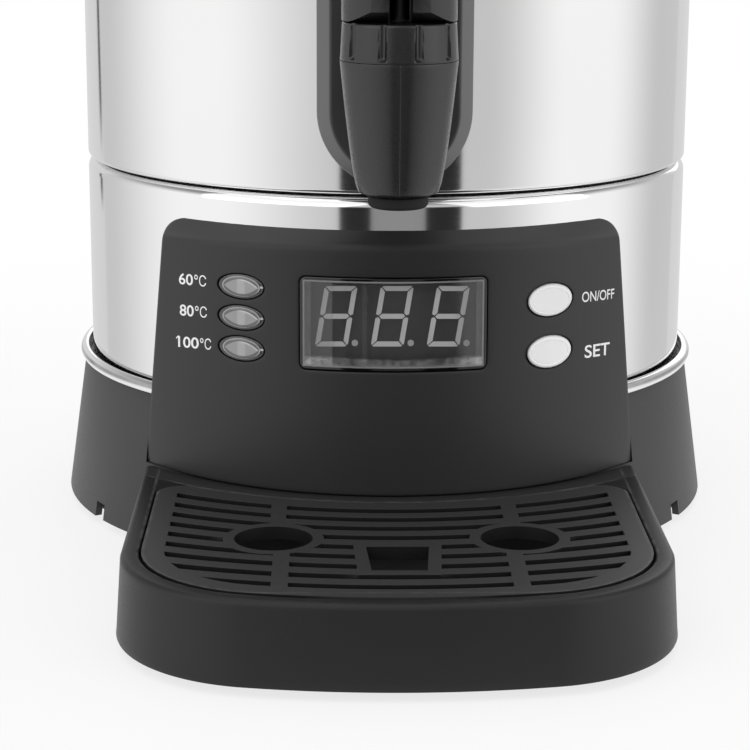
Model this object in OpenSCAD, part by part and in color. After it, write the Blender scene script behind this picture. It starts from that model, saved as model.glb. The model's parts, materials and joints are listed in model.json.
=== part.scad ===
// Hot water urn: a double-walled steel tank on a flared base, with a control panel,
// a lever tap with a level gauge, and a drip tray. Millimetres, +Z up, front towards -Y.
// The origin is on the table, on the axis of the steel body.

/* [Body] */
// Outside diameter of the steel body
body_d = 220; // [212:1:236]
// Thickness of the steel sheet
steel_t = 1.2; // [0.8:0.1:1.6]
// Height of the lower steel shell
lower_shell_h = 76.3; // [74:0.1:90]
// Height of the upper steel shell
upper_shell_h = 300; // [280:1:340]
// Thickness of the gasket that shows as the dark seam
seam_t = 0.6; // [0.4:0.1:1.2]
// Rounding of the lower shell's shoulder under the seam
shoulder_r = 4; // [2:0.5:6]
// Rounding of the upper shell's bottom edge
hem_r = 1.8; // [1.6:0.1:3]

/* [Base] */
// Height of the gap under the skirt
foot_h = 3; // [2:0.1:5]
// Height of the flared skirt
skirt_h = 50; // [46:0.5:54]
// How far the skirt's bottom edge stands outside the steel
skirt_flare = 9.8; // [7:0.1:13]
// How far the skirt's top edge stands outside the steel
skirt_shoulder = 2.6; // [2.3:0.1:4]
// Wall thickness of the skirt
skirt_wall = 2.5; // [2:0.1:3.5]
// Width of the notches in the skirt's bottom edge
notch_w = 6.5; // [4:0.5:10]
// Height of the notches in the skirt's bottom edge
notch_h = 5.5; // [3:0.5:8]
// Angle of the notches from the front
notch_angle = 60; // [55:1:70]
// Height of the steel trim ring
trim_h = 4.5; // [3:0.1:6]
// Width of the steel trim ring
trim_w = 3; // [2.5:0.1:4.5]
// Width of the groove between the trim ring and the steel body
trim_gap = 1.5; // [1.5:0.1:2.2]

/* [Control panel] */
// Radius of the panel's curved front
panel_r = 105; // [100:0.5:112]
// How far the panel's foot stands in front of the steel
panel_reach = 11; // [10:0.5:14]
// Backward lean of the panel's front in degrees
panel_tilt = 2.76; // [1.5:0.02:3.5]
// Width across the panel's foot
panel_bottom_w = 169; // [162:1:172]
// Width across the panel's top
panel_top_w = 152; // [146:1:158]
// Height of the panel, up to its edge on the steel
panel_h = 86.7; // [84:0.1:90]
// Rounding of the panel's top corners
panel_corner = 9; // [6:0.5:12]
// Slope of the strip along the panel's top in degrees
panel_slope = 31.5; // [25:0.5:38]
// Wall thickness of the panel
panel_wall = 2.5; // [2:0.1:3]

/* [Display] */
// Width of the display window
window_w = 62; // [60:0.5:64]
// Height of the display window
window_h = 31.2; // [29:0.2:33]
// Height of the window's centre above the panel's foot
window_rise = 56.8; // [54:0.2:60]
// Rounding of the window's corners
window_corner = 2.5; // [1:0.5:4]
// Height of a digit
digit_h = 20.3; // [16:0.1:22]
// Width of a digit
digit_w = 10.8; // [8:0.1:12]
// Distance from one digit to the next
digit_pitch = 18.2; // [17:0.1:19]
// Width of a lit bar in a digit
segment_w = 1.8; // [1.2:0.1:2.2]
// Slant of the digits in degrees
digit_slant = 10; // [0:1:12]

/* [Indicators and buttons] */
// Distance of the indicator column from the centre line
indicator_x = 50.2; // [49:0.2:52]
// Width of an indicator opening
indicator_w = 15.9; // [13:0.1:17]
// Height of an indicator opening
indicator_h = 8.7; // [7:0.1:9]
// Distance from one indicator to the next
indicator_pitch = 10.4; // [10.2:0.1:11]
// Distance of the button column from the centre line
button_x = 52.3; // [51:0.1:53]
// Width of a button opening
button_w = 16.2; // [13:0.1:17]
// Height of a button opening
button_h = 11.5; // [9:0.1:13]
// Distance from one button to the other
button_pitch = 17.4; // [16:0.1:19]
// How far a button stands out of the panel
button_proud = 1.4; // [1.2:0.1:2]
// Travel of a button
button_travel = 1; // [0.5:0.1:1.2]

/* [Tap] */
// Distance from the steel to the spout's axis
tap_reach = 48; // [46:0.5:56]
// Height of the spout's mouth above the seam
mouth_rise = 4.1; // [3:0.1:12]
// Height of the soft spout tip below the tap body
tip_h = 4.3; // [3:0.1:6]
// Outside radius of the spout tip
tip_r = 9; // [8.6:0.1:10]
// Radius of the spout's bore
spout_bore_r = 5; // [4:0.1:6]
// Height of the tap body
tap_body_h = 40.2; // [38:0.1:46]
// Radius of the tap body at its top
tap_top_r = 17.8; // [17.4:0.1:19]
// Radius of the tap body at its foot
tap_foot_r = 12.4; // [11.6:0.1:13]
// Radius of the shank that passes into the tank
shank_r = 9; // [8:0.1:10]
// Height of the ribbed bonnet nut
bonnet_h = 11.5; // [10:0.1:14]
// Radius at the bonnet nut's top
bonnet_top_r = 17.15; // [16.8:0.05:18]
// Ribs around the bonnet nut
bonnet_ribs = 10; // [6:1:16]
// Radius of the valve stem
stem_r = 3; // [2.6:0.1:3.2]
// Rise of the valve stem when the tap is open
stem_lift = 4.5; // [3:0.1:5]
// Tilt of the lever when the tap is open, in degrees
lever_swing = 40; // [36:1:44]
// Height of the lever's pivot above its foot
cam_h = 11; // [10:0.1:13]
// Radius of the lever's round foot
lever_r = 17.3; // [17:0.1:18]
// Length of the lever above its pivot
lever_len = 50; // [40:1:60]

/* [Level gauge] */
// Width of the gauge housing behind the tap
housing_w = 50; // [46:1:54]
// Height of the gauge housing
housing_h = 273; // [262:1:275]
// How far the housing stands out of the steel
housing_proud = 9.5; // [9.2:0.1:12]
// Chamfer around the housing's front
housing_chamfer = 4.5; // [3:0.1:6]
// Outside radius of the sight tube
tube_r = 3.2; // [2.8:0.1:3.3]
// Wall of the sight tube
tube_wall = 0.8; // [0.6:0.1:1]
// Width of the clear gauge strip
strip_w = 12; // [11:0.5:14]

/* [Tank] */
// Distance from the outside of the body to the outside of the tank
tank_gap = 6; // [5.6:0.1:8]
// Height of the tank floor above the seam
floor_rise = 8.1; // [8:0.1:12]
// Rounding of the tank's bottom edge
tank_corner = 10; // [6:0.5:14]
// Radius of the heater plate
heater_r = 70; // [62:1:80]
// Thickness of the heater plate
heater_t = 5; // [4:0.5:6]
// Radius of the heating element's ring
element_ring_r = 50; // [45:1:56]
// Radius of the heating element's tube
element_r = 3.4; // [3:0.1:4]

/* [Lid and handles] */
// Rise of the lid's crown above its edge
lid_rise = 15; // [10:0.5:20]
// Radius of the lid knob
knob_r = 21; // [18:0.5:24]
// Height of the lid knob
knob_h = 26; // [22:0.5:30]
// How far the side handles stand out of the steel
handle_reach = 40; // [36:1:46]
// Thickness of a handle's grip
handle_t = 12; // [9:0.5:14]
// Height of a handle's grip
handle_h = 24; // [18:1:30]
// Sweep of a handle around the body in degrees
handle_sweep = 44; // [38:1:50]
// Distance of the handles below the steel's top edge
handle_drop = 68; // [40:1:90]

/* [Drip tray] */
// Width across the tray's foot
tray_w = 173; // [168:1:178]
// How far the tray reaches in front of the steel
tray_reach = 119.6; // [116:0.2:130]
// Height of the tray
tray_h = 26; // [24:0.5:26]
// Radius of the tray's front curve
tray_front_r = 240; // [200:5:300]
// Rounding of the tray's front corners
tray_corner = 50; // [44:1:56]
// How far each side of the tray leans in
tray_draft = 1.8; // [0:0.1:3]
// Width of the tray's rim
tray_rim = 5.7; // [4:0.1:6]
// Rounding of the rear corners of the tray's recess
rear_corner = 9; // [6:0.5:12]
// Thickness of the tray's floor and walls
tray_wall = 3; // [2:0.1:3.5]

/* [Drip grate] */
// Thickness of the grate
grate_t = 4.3; // [3.5:0.1:5]
// Width of a slot in the grate
slot_w = 4.2; // [3:0.1:5]
// Distance from one slot to the next
slot_pitch = 9.4; // [9:0.1:9.8]
// Rows of slots
slot_rows = 9; // [7:1:9]
// Distance of the first slot in front of the steel
slot_first = 27.7; // [27:0.1:30]
// Plain border around the slots, from the tray's outside
slot_border = 13.3; // [12:0.1:15]
// Diameter of a finger hole
finger_d = 24.5; // [20:0.5:27]
// Distance of a finger hole from the centre line
finger_x = 38.3; // [36:0.1:40]
// Distance of the finger holes in front of the steel
finger_reach = 56; // [52:0.2:60]
// Width of the ribs and rings between the slots
rib_w = 5; // [4:0.1:6]
// Width of the square opening in the middle
pocket_w = 18; // [14:0.5:20]
// Length of the square opening in the middle
pocket_len = 23; // [20:0.5:26]

/* [Clearances] */
// Gap between pieces that seat in each other
fit_gap = 0.2; // [0.1:0.05:0.3]
// Gap between pieces that move past each other
run_gap = 0.3; // [0.25:0.05:0.4]
// Radial gap around a shaft that turns or slides in its bore
shaft_gap = 0.06; // [0.03:0.01:0.1]
// Radial gap around a screw in its clearance hole
screw_gap = 0.3; // [0.2:0.05:0.4]

/* [Hidden] */
$fn = 128;
far = 400;
cut = 1;
front = -90;
curve_steps = 10;

plastic_black = "#2a2a2c";
soft_black = "#1d1d1f";
steel_bright = "#c9ccd0";
steel_dull = "#9a9da1";
board_green = "#2f5d46";
silicone_clear = "#d9dad6";

// Body levels
body_r = body_d / 2;
skirt_top_z = foot_h + skirt_h;
seat_drop = 2;
shell_seat_z = skirt_top_z - seat_drop;
lower_top_z = shell_seat_z + lower_shell_h;
upper_z = lower_top_z + seam_t;
upper_top_z = upper_z + upper_shell_h;
shell_in_r = body_r - steel_t;
shell_flange_w = 13;
seam_flange_w = 15;
top_flange_r = body_r - tank_gap + run_gap;

// Base
skirt_bottom_r = body_r + skirt_flare;
skirt_top_r = body_r + skirt_shoulder;
skirt_flange_t = 2.4;
skirt_flange_z = shell_seat_z - skirt_flange_t;
shell_flange_r = body_r - shell_flange_w;
plate_t = 2;
plate_z = foot_h + plate_t;
plate_top_z = plate_z + plate_t;
boss_r = 5;
boss_inset = 6.2;
boss_ring_r = body_r - boss_inset;
boss_angles = [30, 150, 210, 330];
foot_r = 9;
foot_inset = 24;
foot_taper = 1;
foot_ring_r = body_r - foot_inset;
foot_angles = [45, 135, 225, 315];
screw_r = 1.5;
screw_head_r = 3.2;
screw_head_h = 1.8;
screw_len = 11;
pilot_gap = 0.1;

// Seam bolts
bolt_r = 1.9;
bolt_head_r = 3.4;
bolt_head_h = 2.4;
bolt_len = 8;
nut_r = 3.9;
nut_h = 3;
bolt_count = 6;
bolt_ring_r = body_r - seam_flange_w / 2 - steel_t;

// Cord gland at the back
gland_rise = 27;
gland_z = foot_h + gland_rise;
gland_bore_r = 3.6;
gland_r = 7.8;
gland_flange_r = 11;
gland_flange_t = 3.2;
gland_nut_t = 5;
gland_pad_r = 13;
gland_pad_in = body_r;
gland_pad_out = skirt_bottom_r - 1;
gland_in = gland_pad_in - gland_nut_t - 1;
gland_out = gland_pad_out + gland_flange_t;

// Control panel
panel_z = foot_h + tray_h + 2 * run_gap;
panel_top_z = panel_z + panel_h;
panel_front = body_r + panel_reach;
panel_axis_y = panel_r - panel_front;
panel_seat_r = body_r + run_gap;
panel_back_y = -body_r / 2;
panel_spare = 20;
panel_depth = panel_front + panel_back_y + panel_spare;
panel_boss_angle = 39;
panel_boss_r = 3.5;
panel_boss_rises = [32, 70];
panel_boss_z = [for (rise = panel_boss_rises) panel_z + rise];
panel_screw_len = 3.6;
panel_pilot_len = panel_screw_len + 1;

// Circuit board behind the panel
board_t = 1.6;
board_inset = 19;
board_y = -(body_r - board_inset);
board_back_y = board_y + board_t;
board_w = 116;
board_h = 42;
board_z = panel_z + window_rise;
board_boss_gap = 5;
board_boss_edge = 3.2;
board_boss_x = window_w / 2 + board_boss_gap;
board_boss_dz = board_h / 2 - board_boss_edge;
board_boss_r = 2.8;
shell_cut_w = board_w + 10;
shell_cut_h = board_h + 6;

// Display
lens_t = 1.8;
lens_recess = 0.4;
lens_r = panel_r - lens_recess;
lens_in_r = lens_r - lens_t;
module_w = window_w - 7;
module_h = window_h - 2;
display_z = panel_z + window_rise;
digit_rise = 2.3;
digit_z = display_z + digit_rise;
digit_count = 3;
segment_t = 0.3;
segment_gap = 0.3;
dot_r = 1.1;
dot_gap = 2.1;
lens_side_drop = lens_in_r - sqrt(pow(lens_in_r, 2) - pow(module_w / 2, 2));
window_foot_rise = window_rise - window_h / 2;
window_axis_y = panel_axis_y + window_foot_rise * tan(panel_tilt);
module_front_y = window_axis_y - lens_in_r + lens_side_drop + 5 * run_gap;

// Indicators and buttons
oval_steps = 40;
indicator_drop = 0.1;
indicator_mid_z = display_z - indicator_drop;
button_drop = 3;
button_mid_z = display_z - button_drop;
flange_lip = 1.1;
flange_t = 1.5;
led_r = 2.4;
led_h = 6;
switch_w = 6;
switch_h = 3.4;
plunger_r = 1.6;
plunger_h = 1.6;
stalk_r = 2.2;
button_gap = 0.45;
indicator_zs = [for (i = [-1 : 1]) indicator_mid_z - i * indicator_pitch];
button_zs = [button_mid_z + button_pitch / 2, button_mid_z - button_pitch / 2];

// Power electronics on the base plate
power_w = 70;
power_l = 50;
power_y = 26;
standoff_h = 8;
standoff_r = 3;
standoff_inset = 5;
power_z = plate_top_z + standoff_h;
relay_size = [19, 15.5, 15];
relay_place = [-26, -16];
block_place = [-2, 4];

// Tank and heater
tank_r = body_r - tank_gap;
tank_in_r = tank_r - steel_t;
floor_z = upper_z + floor_rise;
floor_under_z = floor_z - steel_t;
tank_flange_r = body_r - fit_gap;
tank_flange_z = upper_top_z + steel_t;
heater_z = floor_under_z - heater_t;
element_z = heater_z - element_r - pilot_gap;
element_sweep = 330;
terminal_r = 1.8;
terminal_len = 14;
terminal_turn = 6;
cutout_r = 9;
cutout_h = 8;
probe_r = 2.8;
probe_len = 18;
probe_pos = [25, 20];

// Tap
tap_y = -(body_r + tap_reach);
mouth_z = upper_z + mouth_rise;
tap_foot_z = mouth_z + tip_h;
tap_top_z = tap_foot_z + tap_body_h;
shank_rise = 23.7;
shank_z = tap_foot_z + shank_rise;
bonnet_top_z = tap_top_z + bonnet_h;
bonnet_roof = 3.7;
neck_r = 13.4;
neck_h = bonnet_h - bonnet_roof - run_gap;
chamber_r = 11;
seat_rise = 15.7;
seat_z = tap_foot_z + seat_rise;
socket_r = 7.5;
socket_h = 10;
shank_bore_r = 5;
shank_inside = 13;
shank_end_y = -(tank_in_r - shank_inside);
shank_flange_r = 14;
shank_flange_t = 4;
gasket_r = 14;
gasket_inside = 5;
gasket_y = -(tank_in_r - gasket_inside);
shank_nut_r = 15;
shank_nut_t = 6.5;
groove_r = 1.3;
seal_r = 8.6;
seal_h = 8;
seal_taper = 1.5;
stem_grip = 2.5;
seal_z = seat_z + run_gap;
stem_end_z = seal_z + stem_grip;
collar_r = 8;
collar_h = 2.5;
collar_z = seal_z + seal_h;
spring_r = 7.4;
spring_wire = 1.3;
pivot_z = bonnet_top_z + run_gap + cam_h;
eye_r = 5;
eye_w = 2 * stem_r;
fork_gap = 0.45;
pin_r = 2;
pin_len = 29;
press_gap = 0.02;
cam_rate = stem_lift / lever_swing;
cam_offset = cam_rate * 180 / PI;

// Level gauge
housing_front_y = -(body_r + housing_proud);
housing_rise = 3.1;
housing_bottom_z = upper_z + housing_rise;
housing_top_z = housing_bottom_z + housing_h;
housing_half = housing_w / 2;
tube_y = -(body_r + tube_r + 2 * fit_gap);
channel_half = 5.6;
channel_front_y = tube_y - tube_r - 2 * fit_gap;
elbow_rise = 24;
elbow_z = shank_z + elbow_rise;
elbow_r = 5;
elbow_pipe_r = 2.8;
elbow_bore_r = 1.7;
elbow_nut_r = 6;
elbow_nut_t = 4;
elbow_nut_y = -(tank_in_r - 2 * fit_gap);
elbow_stub = 3;
elbow_end_y = elbow_nut_y + elbow_nut_t + elbow_stub;
socket_wall = 1.7;
socket_len = 7;
tube_rise = 6;
tube_drop = 14;
tube_z = elbow_z + tube_rise;
tube_top_z = housing_top_z - tube_drop;
seal_ring_h = 2;
cap_roof = 4;
channel_top_z = tube_top_z + cap_roof;
elbow_socket_z = tube_z + socket_len;
cap_z = tube_top_z - socket_len;
strip_t = 1.1;
strip_ledge = 2;
strip_low_z = elbow_socket_z + seal_ring_h + 2 * strip_ledge;
strip_top_z = cap_z - seal_ring_h - strip_ledge;
slot_half = strip_w / 2 - strip_ledge;
housing_screw_drop = 5;
housing_screw_z = housing_top_z - housing_screw_drop;
housing_screw_len = 7;

// Rim, lid and knob
rim_wall = 2.6;
rim_drop = 9;
rim_lap = 1.6;
rim_ledge_h = 4;
rim_lip_h = 5;
rim_lip_inset = 4;
rim_edge = 0.8;
rim_round = 2.2;
lip_round = 1;
rim_lip_r = body_r - rim_lip_inset;
rim_in_r = tank_in_r - rim_lap;
ledge_z = tank_flange_z + rim_ledge_h;
rim_top_z = ledge_z + rim_lip_h;
seal_ring_t = 2;
lid_z = ledge_z + run_gap + seal_ring_t;
lid_r = rim_lip_r - 2 * run_gap;
lid_brim = 7;
lid_flat_r = 14;
lid_top_z = lid_z + steel_t + lid_rise;
knob_neck_r = 10;
knob_neck_h = 9;
knob_flare = 3;
knob_slope = 2;
knob_edge = 3;
knob_crown = 6;
knob_screw_r = 2.2;
knob_screw_len = 14;
knob_head_r = 5;
knob_head_h = 3;
vent_r = 2.2;

// Handles
handle_z = upper_top_z - handle_drop;
handle_foot_sweep = 7;
handle_screw_len = 13;
handle_round = 4;
grip_round = 3;

// Drip tray and grate
tray_top_z = foot_h + tray_h;
tray_front_y = -(body_r + tray_reach);
tray_gap = 2 * run_gap;
tray_back_y = -60;
ledge_w = 3.2;
grate_z = tray_top_z - grate_t + run_gap;
tray_ledge_z = grate_z - run_gap;
grate_gap = 0.6;
basin_gap = 17;
bend_tuck = 0.05;
basin_back_r = body_r + basin_gap;
slot_axis_y = 8;
finger_y = -(body_r + finger_reach);
ring_w = 3.4;
pocket_reach = 64.5;
shelf_len = 6.5;
shelf_drop = 2;
pad_r = 6;
pad_places = [[60, 18], [46, 85]];

// Points of the round that replaces corner b between a and c
function unit(v) = v / norm(v);
function corner_arc(a, b, c, r) =
    let (
        u = unit(a - b),
        v = unit(c - b),
        half = acos(u * v) / 2,
        centre = b + unit(u + v) * (r / sin(half)),
        p = b + u * (r / tan(half)) - centre,
        q = b + v * (r / tan(half)) - centre,
        start = atan2(p.y, p.x),
        half_turn = 180,
        sweep = (atan2(q.y, q.x) - start + 3 * half_turn) % (2 * half_turn) - half_turn
    )
    [for (i = [0 : curve_steps])
        centre + r * [cos(start + sweep * i / curve_steps), sin(start + sweep * i / curve_steps)]];

// A polygon with each corner rounded by its own radius
function rounded(points, radii) =
    let (n = len(points))
    [for (i = [0 : n - 1])
        each (radii[i] > 0
            ? corner_arc(points[(i + n - 1) % n], points[i], points[(i + 1) % n], radii[i])
            : [points[i]])];

// Points of an ellipse of width w and height h around a centre
function oval(w, h, centre) =
    [for (i = [0 : oval_steps - 1])
        centre + [w / 2 * cos(360 * i / oval_steps), h / 2 * sin(360 * i / oval_steps)]];

function box_points(w, h, centre) =
    [centre + [-w, -h] / 2, centre + [w, -h] / 2, centre + [w, h] / 2, centre + [-w, h] / 2];

function skirt_r_at(z) =
    skirt_bottom_r + (skirt_top_r - skirt_bottom_r) * (z - foot_h) / skirt_h;

// An outline drawn in X and Z, carried towards the front from y_back
module front_prism(points, y_back, depth) {
    translate([0, y_back, 0])
        rotate([90, 0, 0])
            linear_extrude(depth) polygon(points);
}

// A round rod along Y
module y_rod(r, y0, y1, x, z) {
    translate([x, y0, z])
        rotate([-90, 0, 0]) cylinder(r = r, h = y1 - y0);
}

// Children drawn along Z are laid along a radius of the body
module radial(angle, r0, z) {
    rotate([0, 0, angle])
        translate([r0, 0, z])
            rotate([0, 90, 0]) children();
}

module around(r, angles) {
    for (a = angles)
        rotate([0, 0, a]) translate([r, 0, 0]) children();
}

// A screw with its head on z = 0 and its thread towards +Z
module screw(r, len, head_r, head_h) {
    translate([0, 0, -head_h]) cylinder(r = head_r, h = head_h);
    cylinder(r = r, h = len);
}

// Base: skirt, plate, feet, trim and their screws

// The panel's place in the skirt and trim, outside the steel
module panel_place() {
    difference() {
        front_prism(panel_outline(-run_gap), panel_back_y, panel_depth);
        translate([0, 0, -cut]) cylinder(r = panel_seat_r, h = far);
    }
}

module base_skirt() {
    color(plastic_black) difference() {
        union() {
            rotate_extrude() polygon([
                [skirt_bottom_r, foot_h],
                [skirt_top_r, skirt_top_z],
                [body_r + fit_gap, skirt_top_z],
                [body_r + fit_gap, shell_seat_z],
                [shell_flange_r, shell_seat_z],
                [shell_flange_r, skirt_flange_z],
                [skirt_r_at(skirt_flange_z) - skirt_wall, skirt_flange_z],
                [skirt_bottom_r - skirt_wall, foot_h]
            ]);
            around(boss_ring_r, boss_angles)
                translate([0, 0, plate_top_z]) cylinder(r = boss_r, h = shell_seat_z - plate_top_z);
            y_rod(gland_pad_r, gland_pad_in, gland_pad_out, 0, gland_z);
        }
        panel_place();
        for (side = [-1, 1], turn = [notch_angle, 180 - notch_angle])
            rotate([0, 0, front + side * turn])
                translate([skirt_bottom_r - 3 * skirt_wall, -notch_w / 2, foot_h - cut])
                    cube([4 * skirt_wall, notch_w, notch_h + cut]);
        around(boss_ring_r, boss_angles) {
            translate([0, 0, plate_top_z - cut])
                cylinder(r = screw_r + pilot_gap, h = screw_len + cut);
            translate([0, 0, shell_seat_z - screw_len])
                cylinder(r = screw_r + pilot_gap, h = screw_len + cut);
        }
        y_rod(gland_r + fit_gap, gland_pad_in - cut, gland_pad_out + cut, 0, gland_z);
    }
}

module base_plate() {
    vent_len = 34;
    vent_w = 3;
    color(steel_dull) difference() {
        translate([0, 0, plate_z])
            cylinder(r = skirt_r_at(plate_top_z) - skirt_wall - fit_gap, h = plate_t);
        around(boss_ring_r, boss_angles)
            translate([0, 0, plate_z - cut])
                cylinder(r = screw_r + screw_gap, h = plate_t + 2 * cut);
        for (row = [-3 : 3])
            translate([-vent_len / 2, row * 3 * vent_w - body_r / 2, plate_z - cut])
                cube([vent_len, vent_w, plate_t + 2 * cut]);
    }
}

module rubber_feet() {
    color(soft_black) around(foot_ring_r, foot_angles)
        cylinder(r1 = foot_r - foot_taper, r2 = foot_r, h = plate_z);
}

// Screws up through the base plate, and down through the lower shell's bottom flange
module base_screws() {
    color(steel_dull) around(boss_ring_r, boss_angles) {
        translate([0, 0, plate_z])
            screw(screw_r, screw_len + plate_t - cut, screw_head_r, screw_head_h);
        translate([0, 0, shell_seat_z + steel_t])
            rotate([180, 0, 0]) screw(screw_r, screw_len + steel_t - cut, screw_head_r, screw_head_h);
    }
}

module trim_ring() {
    inner_r = body_r + trim_gap;
    color(steel_bright) difference() {
        rotate_extrude() polygon(rounded(
            [[inner_r, skirt_top_z], [inner_r + trim_w, skirt_top_z],
             [inner_r + trim_w, skirt_top_z + trim_h], [inner_r, skirt_top_z + trim_h]],
            [0, trim_w / 4, trim_w / 2.2, trim_w / 3]));
        panel_place();
    }
}

module lower_shell() {
    outer = [
        [shell_flange_r, shell_seat_z], [body_r, shell_seat_z],
        [body_r, lower_top_z], [body_r - seam_flange_w, lower_top_z],
        [body_r - seam_flange_w, lower_top_z - steel_t], [shell_in_r, lower_top_z - steel_t],
        [shell_in_r, shell_seat_z + steel_t], [shell_flange_r, shell_seat_z + steel_t]
    ];
    radii = [0, 0, shoulder_r, 0, 0, max(shoulder_r - steel_t, 0.2), 0, 0];
    color(steel_bright) difference() {
        rotate_extrude() polygon(rounded(outer, radii));
        front_prism(box_points(shell_cut_w, shell_cut_h, [0, board_z]), -body_r / 2, body_r);
        around(boss_ring_r, boss_angles)
            translate([0, 0, shell_seat_z - cut])
                cylinder(r = screw_r + screw_gap, h = steel_t + 2 * cut);
        around(bolt_ring_r, bolt_turns())
            translate([0, 0, lower_top_z - steel_t - cut])
                cylinder(r = bolt_r + screw_gap, h = steel_t + 2 * cut);
        panel_screw_places(shell_in_r - 2 * cut)
            cylinder(r = screw_r + screw_gap, h = 4 * cut + steel_t);
    }
}

function bolt_turns() = [for (i = [0 : bolt_count - 1]) (i + 0.5) * 360 / bolt_count];

module seam_gasket() {
    color(soft_black) translate([0, 0, lower_top_z]) difference() {
        cylinder(r = body_r - shoulder_r, h = seam_t);
        translate([0, 0, -cut]) cylinder(r = body_r - seam_flange_w, h = seam_t + 2 * cut);
        around(bolt_ring_r, bolt_turns())
            translate([0, 0, -cut]) cylinder(r = bolt_r + screw_gap, h = seam_t + 2 * cut);
    }
}

module seam_bolts() {
    color(steel_dull) around(bolt_ring_r, bolt_turns())
        translate([0, 0, upper_z + steel_t])
            rotate([180, 0, 0])
                screw(bolt_r, bolt_len + seam_t + 2 * steel_t - nut_h, bolt_head_r, bolt_head_h);
}

module seam_nuts() {
    color(steel_dull) around(bolt_ring_r, bolt_turns())
        translate([0, 0, lower_top_z - steel_t - nut_h]) difference() {
            cylinder(r = nut_r, h = nut_h, $fn = 6);
            translate([0, 0, -cut]) cylinder(r = bolt_r + pilot_gap, h = nut_h + 2 * cut);
        }
}

module cord_gland() {
    color(soft_black) difference() {
        union() {
            y_rod(gland_flange_r, gland_pad_out, gland_out, 0, gland_z);
            y_rod(gland_r, gland_in, gland_pad_out + cut, 0, gland_z);
        }
        y_rod(gland_bore_r, gland_in - cut, gland_out + cut, 0, gland_z);
    }
}

module gland_nut() {
    color(plastic_black) difference() {
        translate([0, gland_pad_in - gland_nut_t, gland_z])
            rotate([-90, 0, 0]) cylinder(r = gland_flange_r, h = gland_nut_t, $fn = 6);
        y_rod(gland_r + pilot_gap, gland_pad_in - gland_nut_t - cut, gland_pad_in + cut, 0, gland_z);
    }
}

// Control panel and what it holds

// The panel's outline in X and Z, moved inwards by inset
function panel_outline(inset) =
    let (
        foot = panel_bottom_w / 2 - inset,
        top = panel_top_w / 2 - inset,
        low = panel_z + inset,
        high = panel_top_z - inset,
        round_r = panel_corner - max(inset, 0)
    )
    rounded([[-foot, low], [foot, low], [top, high], [-top, high]], [0, 0, round_r, round_r]);

// A cylinder about the panel's leaning axis
module leaning_rod(r) {
    translate([0, panel_axis_y, panel_z])
        rotate([-panel_tilt, 0, 0])
            translate([0, 0, -panel_h]) cylinder(r = r, h = 3 * panel_h);
}

module leaning_tube(r_out, r_in) {
    difference() {
        leaning_rod(r_out);
        leaning_rod(r_in);
    }
}

module panel_block(inset) {
    top_z = panel_top_z - inset;
    intersection() {
        leaning_rod(panel_r - inset);
        front_prism(panel_outline(inset), panel_back_y, panel_depth);
        cylinder(r1 = body_r + top_z / tan(panel_slope), r2 = body_r, h = top_z);
    }
}

module panel_screw_places(r0) {
    for (side = [-1, 1], z = panel_boss_z)
        radial(front + side * panel_boss_angle, r0, z) children();
}

module board_boss_places() {
    for (x = [-board_boss_x, board_boss_x], dz = [-board_boss_dz, board_boss_dz])
        translate([x, board_y, board_z + dz]) rotate([90, 0, 0]) children();
}

module control_panel() {
    boss_len = 40;
    color(plastic_black) difference() {
        union() {
            difference() {
                panel_block(0);
                panel_block(panel_wall);
                cylinder(r = panel_seat_r, h = far);
            }
            intersection() {
                panel_block(0);
                union() {
                    board_boss_places() cylinder(r = board_boss_r, h = boss_len);
                    difference() {
                        panel_screw_places(body_r - cut) cylinder(r = panel_boss_r, h = boss_len);
                        cylinder(r = panel_seat_r, h = far);
                    }
                }
            }
        }
        front_prism(window_points(0), panel_back_y, panel_depth);
        for (z = indicator_zs)
            front_prism(oval(indicator_w, indicator_h, [-indicator_x, z]), panel_back_y, panel_depth);
        for (z = button_zs)
            front_prism(oval(button_w, button_h, [button_x, z]), panel_back_y, panel_depth);
        board_boss_places()
            translate([0, 0, -cut]) cylinder(r = screw_r + pilot_gap, h = screw_len + cut);
        panel_screw_places(body_r - cut) cylinder(r = screw_r + pilot_gap, h = panel_pilot_len + cut);
    }
}

function window_points(inset) =
    rounded(
        box_points(window_w - 2 * inset, window_h - 2 * inset, [0, display_z]),
        [for (i = [0 : 3]) window_corner - inset]);

module panel_screws() {
    color(steel_dull)
        panel_screw_places(shell_in_r - fit_gap)
            screw(screw_r, steel_t + fit_gap + panel_screw_len, screw_head_r, screw_head_h);
}

module display_window() {
    color([0.2, 0.2, 0.22, 0.6]) intersection() {
        leaning_tube(lens_r, lens_in_r);
        front_prism(window_points(fit_gap), panel_back_y, panel_depth);
    }
}

module display_module() {
    color(soft_black)
        front_prism(box_points(module_w, module_h, [0, display_z]), board_y, board_y - module_front_y);
}

// A bar of a digit, pointed at both ends, along the given direction
function bar(centre, len, along) =
    let (
        e = along * len / 2,
        s = along * (len / 2 - segment_w / 2),
        n = [-along.y, along.x] * segment_w / 2
    )
    [centre - e, centre - s - n, centre + s - n, centre + e, centre + s + n, centre - s + n];

function slanted(points) = [for (p = points) [p.x + p.y * tan(digit_slant), p.y]];

// The seven bars of one digit around its centre
function digit_bars() =
    let (
        x = (digit_w - segment_w) / 2,
        y = (digit_h - segment_w) / 2,
        across = 2 * x - 2 * segment_gap,
        upright = y - 2 * segment_gap
    )
    concat(
        [for (row = [-1 : 1]) bar([0, row * y], across, [1, 0])],
        [for (side = [-1, 1], half = [-1, 1]) bar([side * x, half * y / 2], upright, [0, 1])]);

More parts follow.
